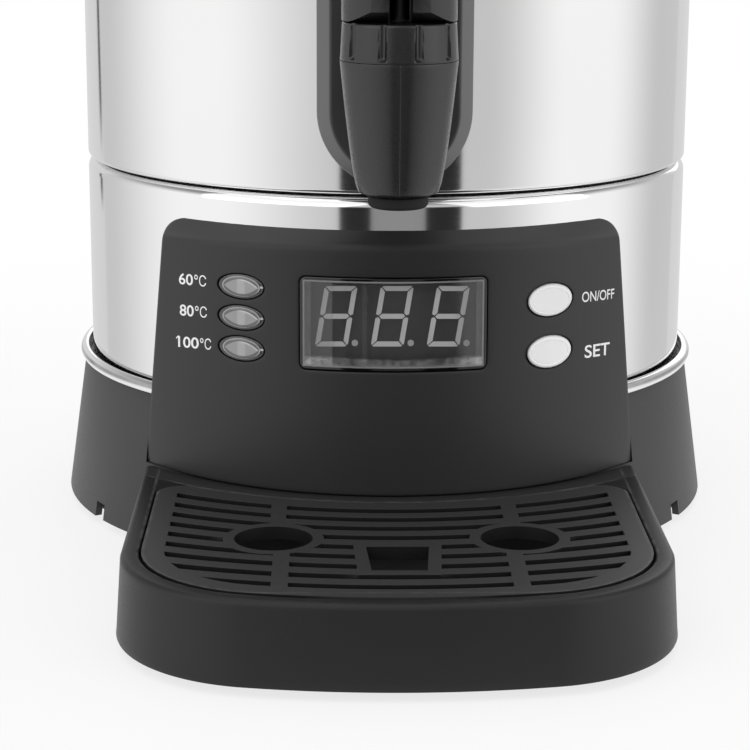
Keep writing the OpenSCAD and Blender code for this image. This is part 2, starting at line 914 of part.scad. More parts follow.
module display_segments() {
    dot_x = digit_w / 2 + dot_gap;
    dot_y = -digit_h / 2 + segment_w;
    color("#bfc0bd")
        for (i = [0 : digit_count - 1])
            translate([(i - (digit_count - 1) / 2) * digit_pitch, module_front_y, digit_z])
                rotate([90, 0, 0]) {
                    for (points = digit_bars())
                        linear_extrude(segment_t) polygon(slanted(points));
                    translate(slanted([[dot_x, dot_y]])[0]) cylinder(r = dot_r, h = segment_t);
                }
}

module control_board() {
    color(board_green) difference() {
        front_prism(box_points(board_w, board_h, [0, board_z]), board_back_y, board_t);
        board_boss_places()
            translate([0, 0, -board_t - cut])
                cylinder(r = screw_r + screw_gap, h = board_t + 2 * cut);
    }
}

module board_screws() {
    color(steel_dull) board_boss_places()
        translate([0, 0, -board_t]) screw(screw_r, board_t + screw_len - cut, screw_head_r, screw_head_h);
}

// A plug in a panel opening, with a lip behind the panel
module panel_plug(w, h, gap, centre, face_r) {
    lip_r = panel_r - panel_wall - run_gap;
    intersection() {
        leaning_tube(face_r, lip_r - flange_t);
        front_prism(oval(w - 2 * gap, h - 2 * gap, centre), panel_back_y, panel_depth);
    }
    intersection() {
        leaning_tube(lip_r, lip_r - flange_t);
        front_prism(oval(w + 2 * flange_lip, h + flange_lip, centre), panel_back_y, panel_depth);
    }
}

module indicator_lenses() {
    color([0.75, 0.76, 0.76, 0.7])
        for (z = indicator_zs)
            panel_plug(indicator_w, indicator_h, fit_gap, [-indicator_x, z], panel_r - lens_recess);
}

module indicator_leds() {
    color("#e8e8e4")
        for (z = indicator_zs)
            translate([-indicator_x, board_y, z]) rotate([90, 0, 0]) {
                cylinder(r = led_r, h = led_h - led_r);
                translate([0, 0, led_h - led_r]) sphere(r = led_r);
            }
}

module button_switches() {
    color(soft_black)
        for (z = button_zs)
            translate([button_x, board_y, z]) rotate([90, 0, 0]) {
                translate([-switch_w / 2, -switch_w / 2, 0]) cube([switch_w, switch_w, switch_h]);
                cylinder(r = plunger_r, h = switch_h + plunger_h);
            }
}

// A button cap with its lip and the stalk that presses the switch
module button(z) {
    stalk_y = board_y - switch_h - plunger_h - button_travel - run_gap;
    lip_r = panel_r - panel_wall - run_gap - flange_t;
    color("#d5d6d8") {
        panel_plug(button_w, button_h, button_gap, [button_x, z], panel_r + button_proud);
        intersection() {
            y_rod(stalk_r, -panel_front, stalk_y, button_x, z);
            leaning_rod(lip_r + flange_t / 2);
        }
    }
}

module on_off_button() {
    button(button_zs[0]);
}

module set_button() {
    button(button_zs[1]);
}

// Power electronics on the base plate

module power_corners() {
    for (x = [-1, 1], y = [-1, 1])
        translate([x * (power_w / 2 - standoff_inset), power_y + y * (power_l / 2 - standoff_inset),
            plate_top_z]) children();
}

module board_standoffs() {
    color("#b9a35c") power_corners() cylinder(r = standoff_r, h = standoff_h);
}

module power_board() {
    color(board_green)
        translate([-power_w / 2, power_y - power_l / 2, power_z]) cube([power_w, power_l, board_t]);
}

module relay() {
    color("#3a6ea5")
        translate([relay_place.x, power_y + relay_place.y, power_z + board_t]) cube(relay_size);
}

module terminal_block() {
    block_l = 32;
    block_w = 11;
    block_h = 13;
    ways = 4;
    way = block_l / ways;
    color("#3d7a4d")
        translate([block_place.x, power_y + block_place.y, power_z + board_t]) difference() {
            cube([block_l, block_w, block_h]);
            for (i = [0 : ways - 1])
                translate([(i + 0.5) * way, block_w / 2, block_h / 2])
                    cylinder(r = way / 3, h = block_h);
        }
}

// Steel body, tank and heater

module handle_screw_places(r0) {
    reach = (handle_sweep - handle_foot_sweep) / 2;
    for (side = [0, 180], turn = [-reach, reach])
        radial(side + turn, r0, handle_z) children();
}

module outer_body() {
    outer = [
        [body_r - seam_flange_w, upper_z], [body_r, upper_z],
        [body_r, upper_top_z], [top_flange_r, upper_top_z],
        [top_flange_r, upper_top_z - steel_t], [shell_in_r, upper_top_z - steel_t],
        [shell_in_r, upper_z + steel_t], [body_r - seam_flange_w, upper_z + steel_t]
    ];
    radii = [0, hem_r, 0, 0, 0, 0, hem_r - steel_t, 0];
    color(steel_bright) difference() {
        rotate_extrude() polygon(rounded(outer, radii));
        around(bolt_ring_r, bolt_turns())
            translate([0, 0, upper_z - cut])
                cylinder(r = bolt_r + screw_gap, h = steel_t + 2 * cut);
        y_rod(shank_r + screw_gap, -body_r - cut, -body_r / 2, 0, shank_z);
        y_rod(elbow_pipe_r + screw_gap, -body_r - cut, -body_r / 2, 0, elbow_z);
        y_rod(screw_r + screw_gap, -body_r - cut, -body_r / 2, 0, housing_screw_z);
        handle_screw_places(shell_in_r - cut)
            cylinder(r = screw_r + screw_gap, h = steel_t + 2 * cut);
    }
}

module inner_tank() {
    wall = [
        [0, floor_under_z], [tank_r, floor_under_z], [tank_r, upper_top_z],
        [tank_flange_r, upper_top_z], [tank_flange_r, tank_flange_z],
        [tank_in_r, tank_flange_z], [tank_in_r, floor_z], [0, floor_z]
    ];
    color(steel_bright) difference() {
        rotate_extrude() polygon(rounded(wall, [0, tank_corner, 0, 0, 0, 0, tank_corner - steel_t, 0]));
        y_rod(shank_r + screw_gap, -body_r, -body_r / 2, 0, shank_z);
        y_rod(elbow_pipe_r + screw_gap, -body_r, -body_r / 2, 0, elbow_z);
    }
}

module heat_plate() {
    color("#b4b6b8") difference() {
        translate([0, 0, heater_z]) cylinder(r = heater_r, h = heater_t);
        translate([probe_pos.x, probe_pos.y, heater_z - cut])
            cylinder(r = probe_r + fit_gap, h = heater_t + 2 * cut);
    }
}

module heating_element() {
    color("#6f6a64") {
        rotate_extrude(angle = element_sweep) translate([element_ring_r, element_z]) circle(r = element_r);
        for (a = [terminal_turn, element_sweep - terminal_turn])
            rotate([0, 0, a])
                translate([element_ring_r, 0, element_z - terminal_len])
                    cylinder(r = terminal_r, h = terminal_len);
    }
}

module thermal_cutout() {
    tab = [1, 6, 8];
    color("#d8d2c4") {
        translate([0, 0, heater_z - cutout_h]) cylinder(r = cutout_r, h = cutout_h);
        for (side = [-1, 1])
            translate([side * cutout_r / 2 - tab.x / 2, -tab.y / 2, heater_z - cutout_h - tab.z])
                cube([tab.x, tab.y, tab.z + cut]);
    }
}

module temperature_probe() {
    color(steel_dull)
        translate([probe_pos.x, probe_pos.y, floor_under_z - probe_len]) {
            cylinder(r = probe_r, h = probe_len);
            cylinder(r = 2 * probe_r, h = probe_len / 3);
        }
}

// Level gauge and its housing

// A round-ended block with a chamfered front, half wide either side of the centre line
module round_ended(half, low_z, high_z, y_back, y_edge, y_front, chamfer) {
    ends = [low_z + half, high_z - half];
    for (z = ends)
        translate([0, y_back, z]) rotate([90, 0, 0]) {
            cylinder(r = half, h = y_back - y_edge);
            translate([0, 0, y_back - y_edge])
                cylinder(r1 = half, r2 = half - chamfer, h = y_edge - y_front);
        }
    translate([0, 0, ends[0]])
        linear_extrude(ends[1] - ends[0])
            polygon([
                [-half, y_back], [-half, y_edge], [-half + chamfer, y_front],
                [half - chamfer, y_front], [half, y_edge], [half, y_back]
            ]);
}

// A flat strip with round ends, across the front
module strip(half, low_z, high_z, y_back, y_front) {
    for (z = [low_z + half, high_z - half])
        y_rod(half, y_front, y_back, 0, z);
    translate([-half, y_front, low_z + half])
        cube([2 * half, y_back - y_front, high_z - low_z - 2 * half]);
}

module gauge_housing() {
    back_y = -(body_r - housing_half / 2);
    edge_y = housing_front_y + housing_chamfer;
    channel_y = -(body_r - cut);
    color(plastic_black) difference() {
        round_ended(housing_half, housing_bottom_z, housing_top_z, back_y, edge_y,
            housing_front_y, housing_chamfer);
        translate([0, 0, housing_bottom_z - cut]) cylinder(r = body_r + fit_gap, h = housing_h + 2 * cut);
        y_rod(shank_r + screw_gap, housing_front_y - cut, -body_r / 2, 0, shank_z);
        translate([-channel_half, channel_front_y, elbow_z - elbow_r - fit_gap])
            cube([2 * channel_half, channel_y - channel_front_y, channel_top_z - elbow_z + elbow_r + fit_gap]);
        strip(slot_half, strip_low_z + strip_ledge, strip_top_z - strip_ledge, channel_y,
            housing_front_y - cut);
        strip(strip_w / 2, strip_low_z, strip_top_z, housing_front_y + strip_t, housing_front_y - cut);
        y_rod(screw_r + pilot_gap, -(shell_in_r + housing_screw_len), -body_r / 2, 0, housing_screw_z);
    }
}

module gauge_window() {
    color([0.85, 0.87, 0.88, 0.4])
        strip(strip_w / 2 - fit_gap, strip_low_z + fit_gap, strip_top_z - fit_gap,
            housing_front_y + strip_t, housing_front_y + fit_gap / 2);
}

module gauge_elbow() {
    front_y = channel_front_y + fit_gap;
    back_y = -(body_r + fit_gap);
    color(plastic_black) difference() {
        union() {
            y_rod(elbow_r, front_y, back_y, 0, elbow_z);
            y_rod(elbow_pipe_r, back_y - cut, elbow_end_y, 0, elbow_z);
            intersection() {
                translate([0, tube_y, elbow_z])
                    cylinder(r = tube_r + socket_wall, h = elbow_socket_z - elbow_z);
                translate([-elbow_r, front_y, elbow_z])
                    cube([2 * elbow_r, back_y - front_y, elbow_socket_z - elbow_z]);
            }
        }
        translate([0, tube_y, tube_z]) cylinder(r = tube_r + pilot_gap, h = socket_len + cut);
        translate([0, tube_y, elbow_z]) cylinder(r = elbow_bore_r, h = tube_z - elbow_z + cut);
        y_rod(elbow_bore_r, tube_y, elbow_end_y + cut, 0, elbow_z);
    }
}

module elbow_nut() {
    color(plastic_black) difference() {
        translate([0, elbow_nut_y, elbow_z])
            rotate([-90, 0, 0]) cylinder(r = elbow_nut_r, h = elbow_nut_t, $fn = 6);
        y_rod(elbow_pipe_r + pilot_gap, elbow_nut_y - cut, elbow_nut_y + elbow_nut_t + cut, 0, elbow_z);
    }
}

module sight_tube() {
    color([0.9, 0.92, 0.93, 0.35])
        translate([0, tube_y, tube_z]) difference() {
            cylinder(r = tube_r, h = tube_top_z - tube_z);
            translate([0, 0, -cut]) cylinder(r = tube_r - tube_wall, h = tube_top_z - tube_z + 2 * cut);
        }
}

module gauge_cap() {
    front_y = channel_front_y + fit_gap;
    back_y = -(body_r + fit_gap);
    color(soft_black) difference() {
        intersection() {
            translate([0, tube_y, cap_z]) cylinder(r = tube_r + socket_wall, h = channel_top_z - cap_z);
            translate([-elbow_r, front_y, cap_z]) cube([2 * elbow_r, back_y - front_y, channel_top_z - cap_z]);
        }
        translate([0, tube_y, cap_z - cut]) cylinder(r = tube_r + pilot_gap, h = socket_len + cut);
    }
}

// Tap

// Radius of the tap body at a share t of its height: a bulging taper
function tap_r_at(t) = tap_foot_r + (tap_top_r - tap_foot_r) * pow(t, 0.7);

module tap_body() {
    foot_round = 1.3;
    low_z = tap_foot_z + foot_round;
    sides = [for (i = [0 : curve_steps])
        [tap_r_at(i / curve_steps), low_z + (tap_top_z - low_z) * i / curve_steps]];
    profile = concat(
        [[0, tap_foot_z], [tap_foot_r - foot_round, tap_foot_z]],
        sides,
        [[neck_r, tap_top_z], [neck_r, tap_top_z + neck_h], [0, tap_top_z + neck_h]]);
    color(plastic_black) difference() {
        union() {
            translate([0, tap_y, 0]) rotate_extrude() polygon(profile);
            y_rod(shank_r, tap_y, shank_end_y, 0, shank_z);
            y_rod(shank_flange_r, housing_front_y - shank_flange_t, housing_front_y, 0, shank_z);
        }
        translate([0, tap_y, seat_z]) cylinder(r = chamber_r, h = far);
        translate([0, tap_y, tap_foot_z - cut]) cylinder(r = spout_bore_r, h = far);
        translate([0, tap_y, tap_foot_z - cut]) cylinder(r = socket_r + pilot_gap, h = socket_h + cut);
        y_rod(shank_bore_r, tap_y, shank_end_y + cut, 0, shank_z);
    }
}

module shank_gasket() {
    color(silicone_clear) difference() {
        intersection() {
            y_rod(gasket_r, -body_r, gasket_y, 0, shank_z);
            translate([0, 0, shank_z - 2 * gasket_r]) cylinder(r = tank_in_r - fit_gap, h = 4 * gasket_r);
        }
        y_rod(shank_r + pilot_gap, -body_r, gasket_y + cut, 0, shank_z);
    }
}

module shank_nut() {
    color(plastic_black) difference() {
        translate([0, gasket_y, shank_z])
            rotate([-90, 0, 0]) cylinder(r = shank_nut_r, h = shank_nut_t, $fn = 6);
        y_rod(shank_r + pilot_gap, gasket_y - cut, gasket_y + shank_nut_t + cut, 0, shank_z);
    }
}

module spout_tip() {
    lip = 0.8;
    color(soft_black) translate([0, tap_y, 0]) rotate_extrude()
        polygon([
            [spout_bore_r, mouth_z], [tip_r - lip, mouth_z], [tip_r, mouth_z + lip], [tip_r, tap_foot_z],
            [socket_r, tap_foot_z], [socket_r, tap_foot_z + socket_h], [spout_bore_r, tap_foot_z + socket_h]
        ]);
}

module bonnet_nut() {
    edge = 0.6;
    groove_foot = 1.3;
    hole_r = stem_r + shaft_gap;
    roof_z = bonnet_top_z - bonnet_roof;
    color(plastic_black) translate([0, tap_y, 0]) difference() {
        rotate_extrude() polygon([
            [neck_r + fit_gap, tap_top_z], [tap_top_r, tap_top_z],
            [bonnet_top_r, bonnet_top_z - edge], [bonnet_top_r - edge, bonnet_top_z],
            [hole_r, bonnet_top_z], [hole_r, roof_z], [neck_r + fit_gap, roof_z]
        ]);
        for (i = [0 : bonnet_ribs - 1])
            rotate([0, 0, front + (i + 0.5) * 360 / bonnet_ribs])
                translate([tap_top_r, 0, tap_top_z + groove_foot]) cylinder(r = groove_r, h = bonnet_h);
    }
}

module valve_stem() {
    color(steel_dull) difference() {
        union() {
            translate([0, tap_y, stem_end_z]) cylinder(r = stem_r, h = pivot_z - stem_end_z);
            translate([0, tap_y, collar_z]) cylinder(r = collar_r, h = collar_h);
            translate([-eye_w / 2, tap_y, pivot_z]) rotate([0, 90, 0]) cylinder(r = eye_r, h = eye_w);
        }
        translate([-eye_w, tap_y, pivot_z]) rotate([0, 90, 0]) cylinder(r = pin_r + shaft_gap, h = 2 * eye_w);
    }
}

module valve_seal() {
    color(silicone_clear) translate([0, tap_y, seal_z]) difference() {
        cylinder(r1 = seal_r - seal_taper, r2 = seal_r, h = seal_h);
        translate([0, 0, stem_end_z - seal_z]) cylinder(r = stem_r + pilot_gap, h = seal_h);
    }
}

module tap_spring() {
    low_z = collar_z + collar_h + pilot_gap;
    high_z = bonnet_top_z - bonnet_roof - pilot_gap;
    color(steel_dull) translate([0, tap_y, low_z]) difference() {
        cylinder(r = spring_r, h = high_z - low_z);
        translate([0, 0, -cut]) cylinder(r = spring_r - spring_wire, h = high_z - low_z + 2 * cut);
    }
}

// The lever's foot rises evenly as it tilts: at tilt t its lowest point is cam_h + cam_rate * t
// below the pivot. Points are [y, z] from the pivot, and the front is -y.
function cam_point(t) =
    let (
        h = cam_h + cam_rate * t
    )
    [-h * sin(t) - cam_offset * cos(t), -h * cos(t) + cam_offset * sin(t)];

module lever_outline() {
    heel = 13;
    heel_top = 6;
    nape = [5, 14];
    waist = [-11, 10];
    brow = [-(lever_r + cut), 2];
    cam = [for (i = [0 : curve_steps]) cam_point(lever_swing * i / curve_steps)];
    tip_lean = 18;
    tip_depth = 11;
    tip_drop = 4;
    tip_front = [-tip_lean, lever_len - tip_drop];
    tip_back = [tip_depth - tip_lean, lever_len];
    tip_front_r = 3;
    tip_back_r = 4;
    polygon(concat(
        [[heel, -cam_h]],
        cam,
        [brow],
        rounded([waist, tip_front, tip_back, nape], [0, tip_front_r, tip_back_r, 0]),
        [[heel, heel_top]]));
}

// The lever's outline in Y and Z, carried along X and centred
module lever_slab(w) {
    translate([w / 2, tap_y, pivot_z])
        rotate([90, 0, -90])
            mirror([1, 0, 0]) linear_extrude(w) lever_outline();
}

module tap_lever() {
    slot = eye_w + 2 * fork_gap;
    block_h = 12;
    paddle_w = 26;
    color(plastic_black) difference() {
        intersection() {
            lever_slab(3 * lever_r);
            union() {
                translate([0, tap_y, pivot_z - 2 * cam_h])
                    cylinder(r = lever_r, h = 2 * cam_h + block_h);
                translate([-paddle_w / 2, tap_y - far / 2, pivot_z + block_h / 2])
                    cube([paddle_w, far, far]);
            }
        }
        translate([-slot / 2, tap_y - 2 * lever_r, pivot_z - 2 * cam_h])
            cube([slot, 4 * lever_r, 2 * cam_h]);
        translate([-slot / 2, tap_y, pivot_z])
            rotate([0, 90, 0]) cylinder(r = eye_r + 2 * run_gap, h = slot);
        translate([-2 * lever_r, tap_y, pivot_z])
            rotate([0, 90, 0]) cylinder(r = pin_r + press_gap, h = 4 * lever_r);
    }
}

module lever_pin() {
    color(steel_bright)
        translate([-pin_len / 2, tap_y, pivot_z]) rotate([0, 90, 0]) cylinder(r = pin_r, h = pin_len);
}

// Rim, lid and handles

module rim_ring() {
    outer_r = body_r + fit_gap + rim_wall;
    color(plastic_black) rotate_extrude() polygon(rounded(
        [[body_r + fit_gap, upper_top_z - rim_drop], [outer_r, upper_top_z - rim_drop],
         [outer_r, rim_top_z], [rim_lip_r, rim_top_z], [rim_lip_r, ledge_z],
         [rim_in_r, ledge_z], [rim_in_r, tank_flange_z], [body_r + fit_gap, tank_flange_z]],
        [0, rim_edge, rim_round, lip_round, 0, rim_edge, 0, 0]));
}

module lid_shell() {
    crown_r = lid_r - lid_brim;
    steps = 2 * curve_steps;
    // The crown falls from its flat top to the brim along a quarter of a cosine
    top = [for (i = [0 : steps])
        let (t = i / steps)
        [crown_r + (lid_flat_r - crown_r) * t, lid_z + steel_t + lid_rise * sin(90 * t)]];
    under = [for (p = top) p - [0, steel_t]];
    section = concat(
        [[lid_r, lid_z], [lid_r, lid_z + steel_t]],
        top,
        [[0, lid_top_z], [0, lid_top_z - steel_t]],
        [for (i = [steps : -1 : 0]) under[i]]);
    color(steel_bright) difference() {
        rotate_extrude() polygon(section);
        translate([0, 0, lid_top_z - 2 * steel_t])
            cylinder(r = knob_screw_r + screw_gap, h = 4 * steel_t);
        translate([0, crown_r / 2, lid_z]) cylinder(r = vent_r, h = 2 * lid_rise);
    }
}

module lid_seal() {
    color(silicone_clear) translate([0, 0, lid_z - seal_ring_t]) difference() {
        cylinder(r = lid_r, h = seal_ring_t);
        translate([0, 0, -cut]) cylinder(r = rim_in_r + run_gap, h = seal_ring_t + 2 * cut);
    }
}

module lid_knob() {
    grip_z = lid_top_z + knob_neck_h;
    top_z = lid_top_z + knob_h;
    color(plastic_black) difference() {
        rotate_extrude() polygon(concat(
            [[0, lid_top_z], [knob_neck_r + knob_flare, lid_top_z],
             [knob_neck_r, lid_top_z + knob_flare]],
            rounded(
                [[knob_neck_r, grip_z - knob_slope], [knob_r, grip_z], [knob_r, top_z], [0, top_z]],
                [0, knob_edge, knob_crown, 0])));
        translate([0, 0, lid_top_z - cut])
            cylinder(r = knob_screw_r + pilot_gap, h = knob_screw_len + cut);
    }
}

module knob_screw() {
    color(steel_dull)
        translate([0, 0, lid_top_z - steel_t])
            screw(knob_screw_r, steel_t + knob_screw_len - cut, knob_head_r, knob_head_h);
}

// A block that follows the body, from r_in to r_out, centred on a direction
module arc_block(r_in, r_out, h, z, sweep, direction, inner_round, outer_round) {
    rotate([0, 0, direction - sweep / 2])
        rotate_extrude(angle = sweep)
            polygon(rounded(
                box_points(r_out - r_in, h, [(r_in + r_out) / 2, z]),
                [inner_round, outer_round, outer_round, inner_round]));
}

module side_handle(direction) {
    out_r = body_r + handle_reach;
    reach = (handle_sweep - handle_foot_sweep) / 2;
    color(plastic_black) difference() {
        union() {
            arc_block(out_r - handle_t, out_r, handle_h, handle_z, handle_sweep, direction,
                grip_round, handle_round);
            for (turn = [-reach, reach])
                arc_block(body_r + fit_gap, out_r, handle_h, handle_z, handle_foot_sweep,
                    direction + turn, 0, handle_round);
        }
        for (turn = [-reach, reach])
            radial(direction + turn, body_r, handle_z)
                cylinder(r = screw_r + pilot_gap, h = handle_screw_len);
    }
}

module left_handle() {
    side_handle(180);
}

module right_handle() {
    side_handle(0);
}

// Screws from inside the outer body into the handles and the gauge housing
module body_screws() {
    color(steel_dull) {
        handle_screw_places(shell_in_r - fit_gap)
            screw(screw_r, handle_screw_len, screw_head_r, screw_head_h);
        radial(front, shell_in_r - fit_gap, housing_screw_z)
            screw(screw_r, housing_screw_len, screw_head_r, screw_head_h);
    }
}

// Drip tray and grate

// The right half of the tray's edge seen from above, moved inwards by inset: from its straight
// side round the corner to the front, which bows out on its own radius.
function tray_edge(inset) =
    let (
        half = tray_w / 2 - inset,
        front_y = tray_front_y + inset,
        r = tray_corner - inset,
        bow = tray_front_r - inset,
        bow_y = front_y + bow,
        corner_x = half - r,
        corner_y = bow_y - sqrt(pow(bow - r, 2) - pow(corner_x, 2)),
        turn = atan2(corner_x, bow_y - corner_y),
        side = [for (i = [0 : curve_steps])
            let (a = (turn - 90) * i / curve_steps)
            [corner_x, corner_y] + r * [cos(a), sin(a)]],
        bowed = [for (i = [1 : curve_steps])
            let (a = turn * (1 - i / curve_steps))
            [bow * sin(a), bow_y - bow * cos(a)]]
    )
    concat(side, bowed);

// The whole loop from its right half, whose last point is on the centre line
function mirrored(right) =
    concat(right, [for (i = [len(right) - 2 : -1 : 0]) [-right[i].x, right[i].y]]);

function tray_outline(inset) =
    mirrored(concat([[tray_w / 2 - inset, tray_back_y]], tray_edge(inset)));

// The edge of the tray's recess, moved inwards by extra: its rear corners round into the circle behind
// it, and start just inside that circle so that the two cross.
function recess_outline(extra) =
    let (
        inset = tray_draft + tray_rim + extra,
        r = rear_corner - extra,
        x = tray_w / 2 - inset - r,
        y = -sqrt(pow(basin_back_r + extra + r - bend_tuck, 2) - pow(x, 2)),
        turn = atan2(-y, -x),
        bend = [for (i = [0 : curve_steps])
            let (a = turn * (1 - i / curve_steps))
            [x, y] + r * [cos(a), sin(a)]]
    )
    mirrored(concat(bend, tray_edge(inset)));

module tray_prism(inset, z0, z1) {
    translate([0, 0, z0]) linear_extrude(z1 - z0) polygon(tray_outline(inset));
}

module recess(extra, z0, z1) {
    difference() {
        translate([0, 0, z0]) linear_extrude(z1 - z0) polygon(recess_outline(extra));
        cylinder(r = basin_back_r + extra, h = far);
    }
}

module drip_tray() {
    slice = 0.01;
    color(plastic_black) difference() {
        hull() {
            tray_prism(0, foot_h, foot_h + slice);
            tray_prism(tray_draft, tray_top_z - slice, tray_top_z);
        }
        cylinder(r1 = skirt_r_at(0) + tray_gap, r2 = skirt_r_at(skirt_top_z) + tray_gap, h = skirt_top_z);
        recess(0, tray_ledge_z, tray_top_z + cut);
        recess(ledge_w, foot_h + tray_wall, tray_top_z + cut);
    }
}

module tray_pads() {
    color(soft_black)
        for (side = [-1, 1], p = pad_places)
            translate([side * p.x, -(body_r + p.y), 0])
                cylinder(r1 = pad_r - foot_taper, r2 = pad_r, h = foot_h);
}

// The grate's slots: arcs about one axis, inside the plain border, clear of the ribs
module grate_slots() {
    rear_rib_shift = 1;
    front_rib_shift = 2.8;
    rear_rib_x = finger_x - rear_rib_shift;
    front_rib_x = finger_x - front_rib_shift;
    difference() {
        intersection() {
            union() for (i = [0 : slot_rows - 1])
                translate([0, slot_axis_y]) difference() {
                    circle(r = slot_ring_r(i) + slot_w / 2);
                    circle(r = slot_ring_r(i) - slot_w / 2);
                }
            polygon(tray_outline(tray_draft + slot_border));
        }
        for (side = [-1, 1]) {
            translate([side * finger_x, finger_y]) circle(r = finger_d / 2 + ring_w);
            translate([side * rear_rib_x - rib_w / 2, finger_y]) square([rib_w, finger_reach]);
            translate([side * front_rib_x - rib_w / 2, tray_front_y])
                square([rib_w, tray_reach - finger_reach]);
        }
        polygon(pocket_points(rib_w - 1));
    }
}

function slot_ring_r(i) = body_r + slot_first + slot_axis_y + i * slot_pitch;

// The opening in the middle, a little narrower at its front, grown by margin
function pocket_points(margin) =
    let (
        back = -(body_r + pocket_reach) + margin,
        ahead = -(body_r + pocket_reach) - pocket_len - margin,
        half = pocket_w / 2 + margin,
        taper = 0.7
    )
    [[-half - taper, back], [half + taper, back], [half - taper, ahead], [-half + taper, ahead]];

module drip_grate() {
    shelf_y = -(body_r + pocket_reach) - pocket_len;
    color(soft_black) {
        difference() {
            recess(grate_gap, grate_z, grate_z + grate_t);
            translate([0, 0, grate_z - cut]) linear_extrude(grate_t + 2 * cut) {
                grate_slots();
                for (side = [-1, 1])
                    translate([side * finger_x, finger_y]) circle(r = finger_d / 2);
                polygon(pocket_points(0));
            }
        }
        translate([-pocket_w / 2, shelf_y - cut, grate_z])
            cube([pocket_w, shelf_len + cut, grate_t - shelf_drop]);
    }
}

base_skirt();
base_plate();
rubber_feet();
base_screws();
trim_ring();
lower_shell();
seam_gasket();
seam_bolts();
seam_nuts();
cord_gland();
gland_nut();
control_panel();
panel_screws();
display_window();
display_module();
display_segments();
control_board();
board_screws();
indicator_lenses();
indicator_leds();
button_switches();
on_off_button();
set_button();
board_standoffs();
power_board();
relay();
terminal_block();
outer_body();
inner_tank();
heat_plate();
heating_element();
thermal_cutout();
temperature_probe();
gauge_housing();
tap_body();
shank_gasket();
shank_nut();
spout_tip();
bonnet_nut();
valve_stem();
valve_seal();
tap_spring();
tap_lever();
lever_pin();
gauge_elbow();
elbow_nut();
sight_tube();
gauge_cap();
gauge_window();
rim_ring();
left_handle();
right_handle();
body_screws();
lid_shell();
lid_seal();
lid_knob();
knob_screw();
drip_tray();
tray_pads();
drip_grate();
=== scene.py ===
import json
import math

import bmesh
import bpy
import numpy as np
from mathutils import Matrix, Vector
from mathutils.geometry import delaunay_2d_cdt


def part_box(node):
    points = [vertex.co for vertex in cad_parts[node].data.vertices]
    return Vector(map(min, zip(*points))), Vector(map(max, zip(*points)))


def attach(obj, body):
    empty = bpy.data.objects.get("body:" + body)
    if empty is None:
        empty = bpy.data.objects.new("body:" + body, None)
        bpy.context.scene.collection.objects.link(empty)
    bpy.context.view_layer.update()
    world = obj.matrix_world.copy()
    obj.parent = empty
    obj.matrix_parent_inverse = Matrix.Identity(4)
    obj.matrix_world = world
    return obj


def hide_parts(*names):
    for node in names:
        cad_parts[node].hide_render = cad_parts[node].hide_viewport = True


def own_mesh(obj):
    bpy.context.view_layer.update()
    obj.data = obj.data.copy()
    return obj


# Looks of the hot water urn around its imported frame: +Z up, front towards -Y
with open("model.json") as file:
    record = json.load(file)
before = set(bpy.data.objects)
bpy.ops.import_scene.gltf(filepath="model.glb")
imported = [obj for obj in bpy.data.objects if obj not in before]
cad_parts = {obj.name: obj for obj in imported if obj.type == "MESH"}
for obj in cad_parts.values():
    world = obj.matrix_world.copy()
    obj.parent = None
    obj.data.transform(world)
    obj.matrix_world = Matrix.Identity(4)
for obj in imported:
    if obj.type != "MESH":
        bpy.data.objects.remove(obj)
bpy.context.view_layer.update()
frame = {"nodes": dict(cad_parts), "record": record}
scene = bpy.context.scene
scene.view_settings.view_transform = "Standard"

# Sizes are in millimetres, as in the part's source
MM = 0.001
MERGE = 1e-6
FRONT = -math.pi / 2

# Steel body and skirt
BODY_R = 110.0
SHELL_SEAT_Z = 51.0
LOWER_TOP_Z = 127.3
UPPER_Z = 127.9
UPPER_TOP_Z = 427.9
STEEL_T = 1.2
OPENING_HALF = 63.0
OPENING_LOW_Z = 62.4
OPENING_HIGH_Z = 110.4
TRIM_LOW_Z = 53.0
TRIM_HIGH_Z = 57.5
TRIM_GAP_HALF = 82.15
SKIRT_FOOT_R = 119.8
SKIRT_FOOT_Z = 3.0
SKIRT_DRAW = 7.2
SKIRT_H = 50.0

# Tap and level gauge
TAP_Y = -158.0
TAP_Z = 160.0
COVER_Y = -119.5
COVER_HALF = 25.0
COVER_LOW_Z = 131.0
COVER_HIGH_Z = 404.0
LITRE_Z = 136.0
LITRE_H = 30.1

# Control panel
PANEL_R = 105.0
PANEL_Y = -16.0
PANEL_Z = 29.6
PANEL_TOP_Z = 116.3
PANEL_TILT = math.radians(2.76)
PANEL_WALL = 2.5
PANEL_FOLD = 1.2
FOLD_Z = 112.3
FOLD_SAG = 2.1
FOLD_HALF = 72.0
PRINT_T = 0.05
PRINT_H = 3.8
WINDOW_W = 61.6
WINDOW_H = 30.8
WINDOW_Z = 86.4
WINDOW_FIT = 0.4
LENS_W = 15.3
LENS_H = 8.1
LENS_X = -50.2
LENS_Z = (96.7, 86.3, 75.9)
LENS_PITCH = LENS_Z[0] - LENS_Z[1]
LENS_FIT = 0.6
BUTTON_W = 15.3
BUTTON_H = 10.6
BUTTON_X = 52.3
ON_OFF_Z = 92.1
SET_Z = 74.7
BUTTON_FIT = 0.9
DIGIT_X = -0.35
DIGIT_Z = 88.15
DIGIT_PITCH = 18.4
DIGIT_LEAN = math.tan(math.radians(9.2))

# Drip tray
TRAY_HALF = 86.5
TRAY_TOP_Z = 29.0
TRAY_CORNER = (36.5, -176.06)
TRAY_CORNER_R = 50.0
TRAY_BOW_Y = 10.4
TRAY_BOW_R = 240.0

# Grain of the moulded plastics, its depth in metres
DRIFT_SCALE = 16.0
PORE_SCALE = 1500.0
PORE_DEPTH = 0.00006

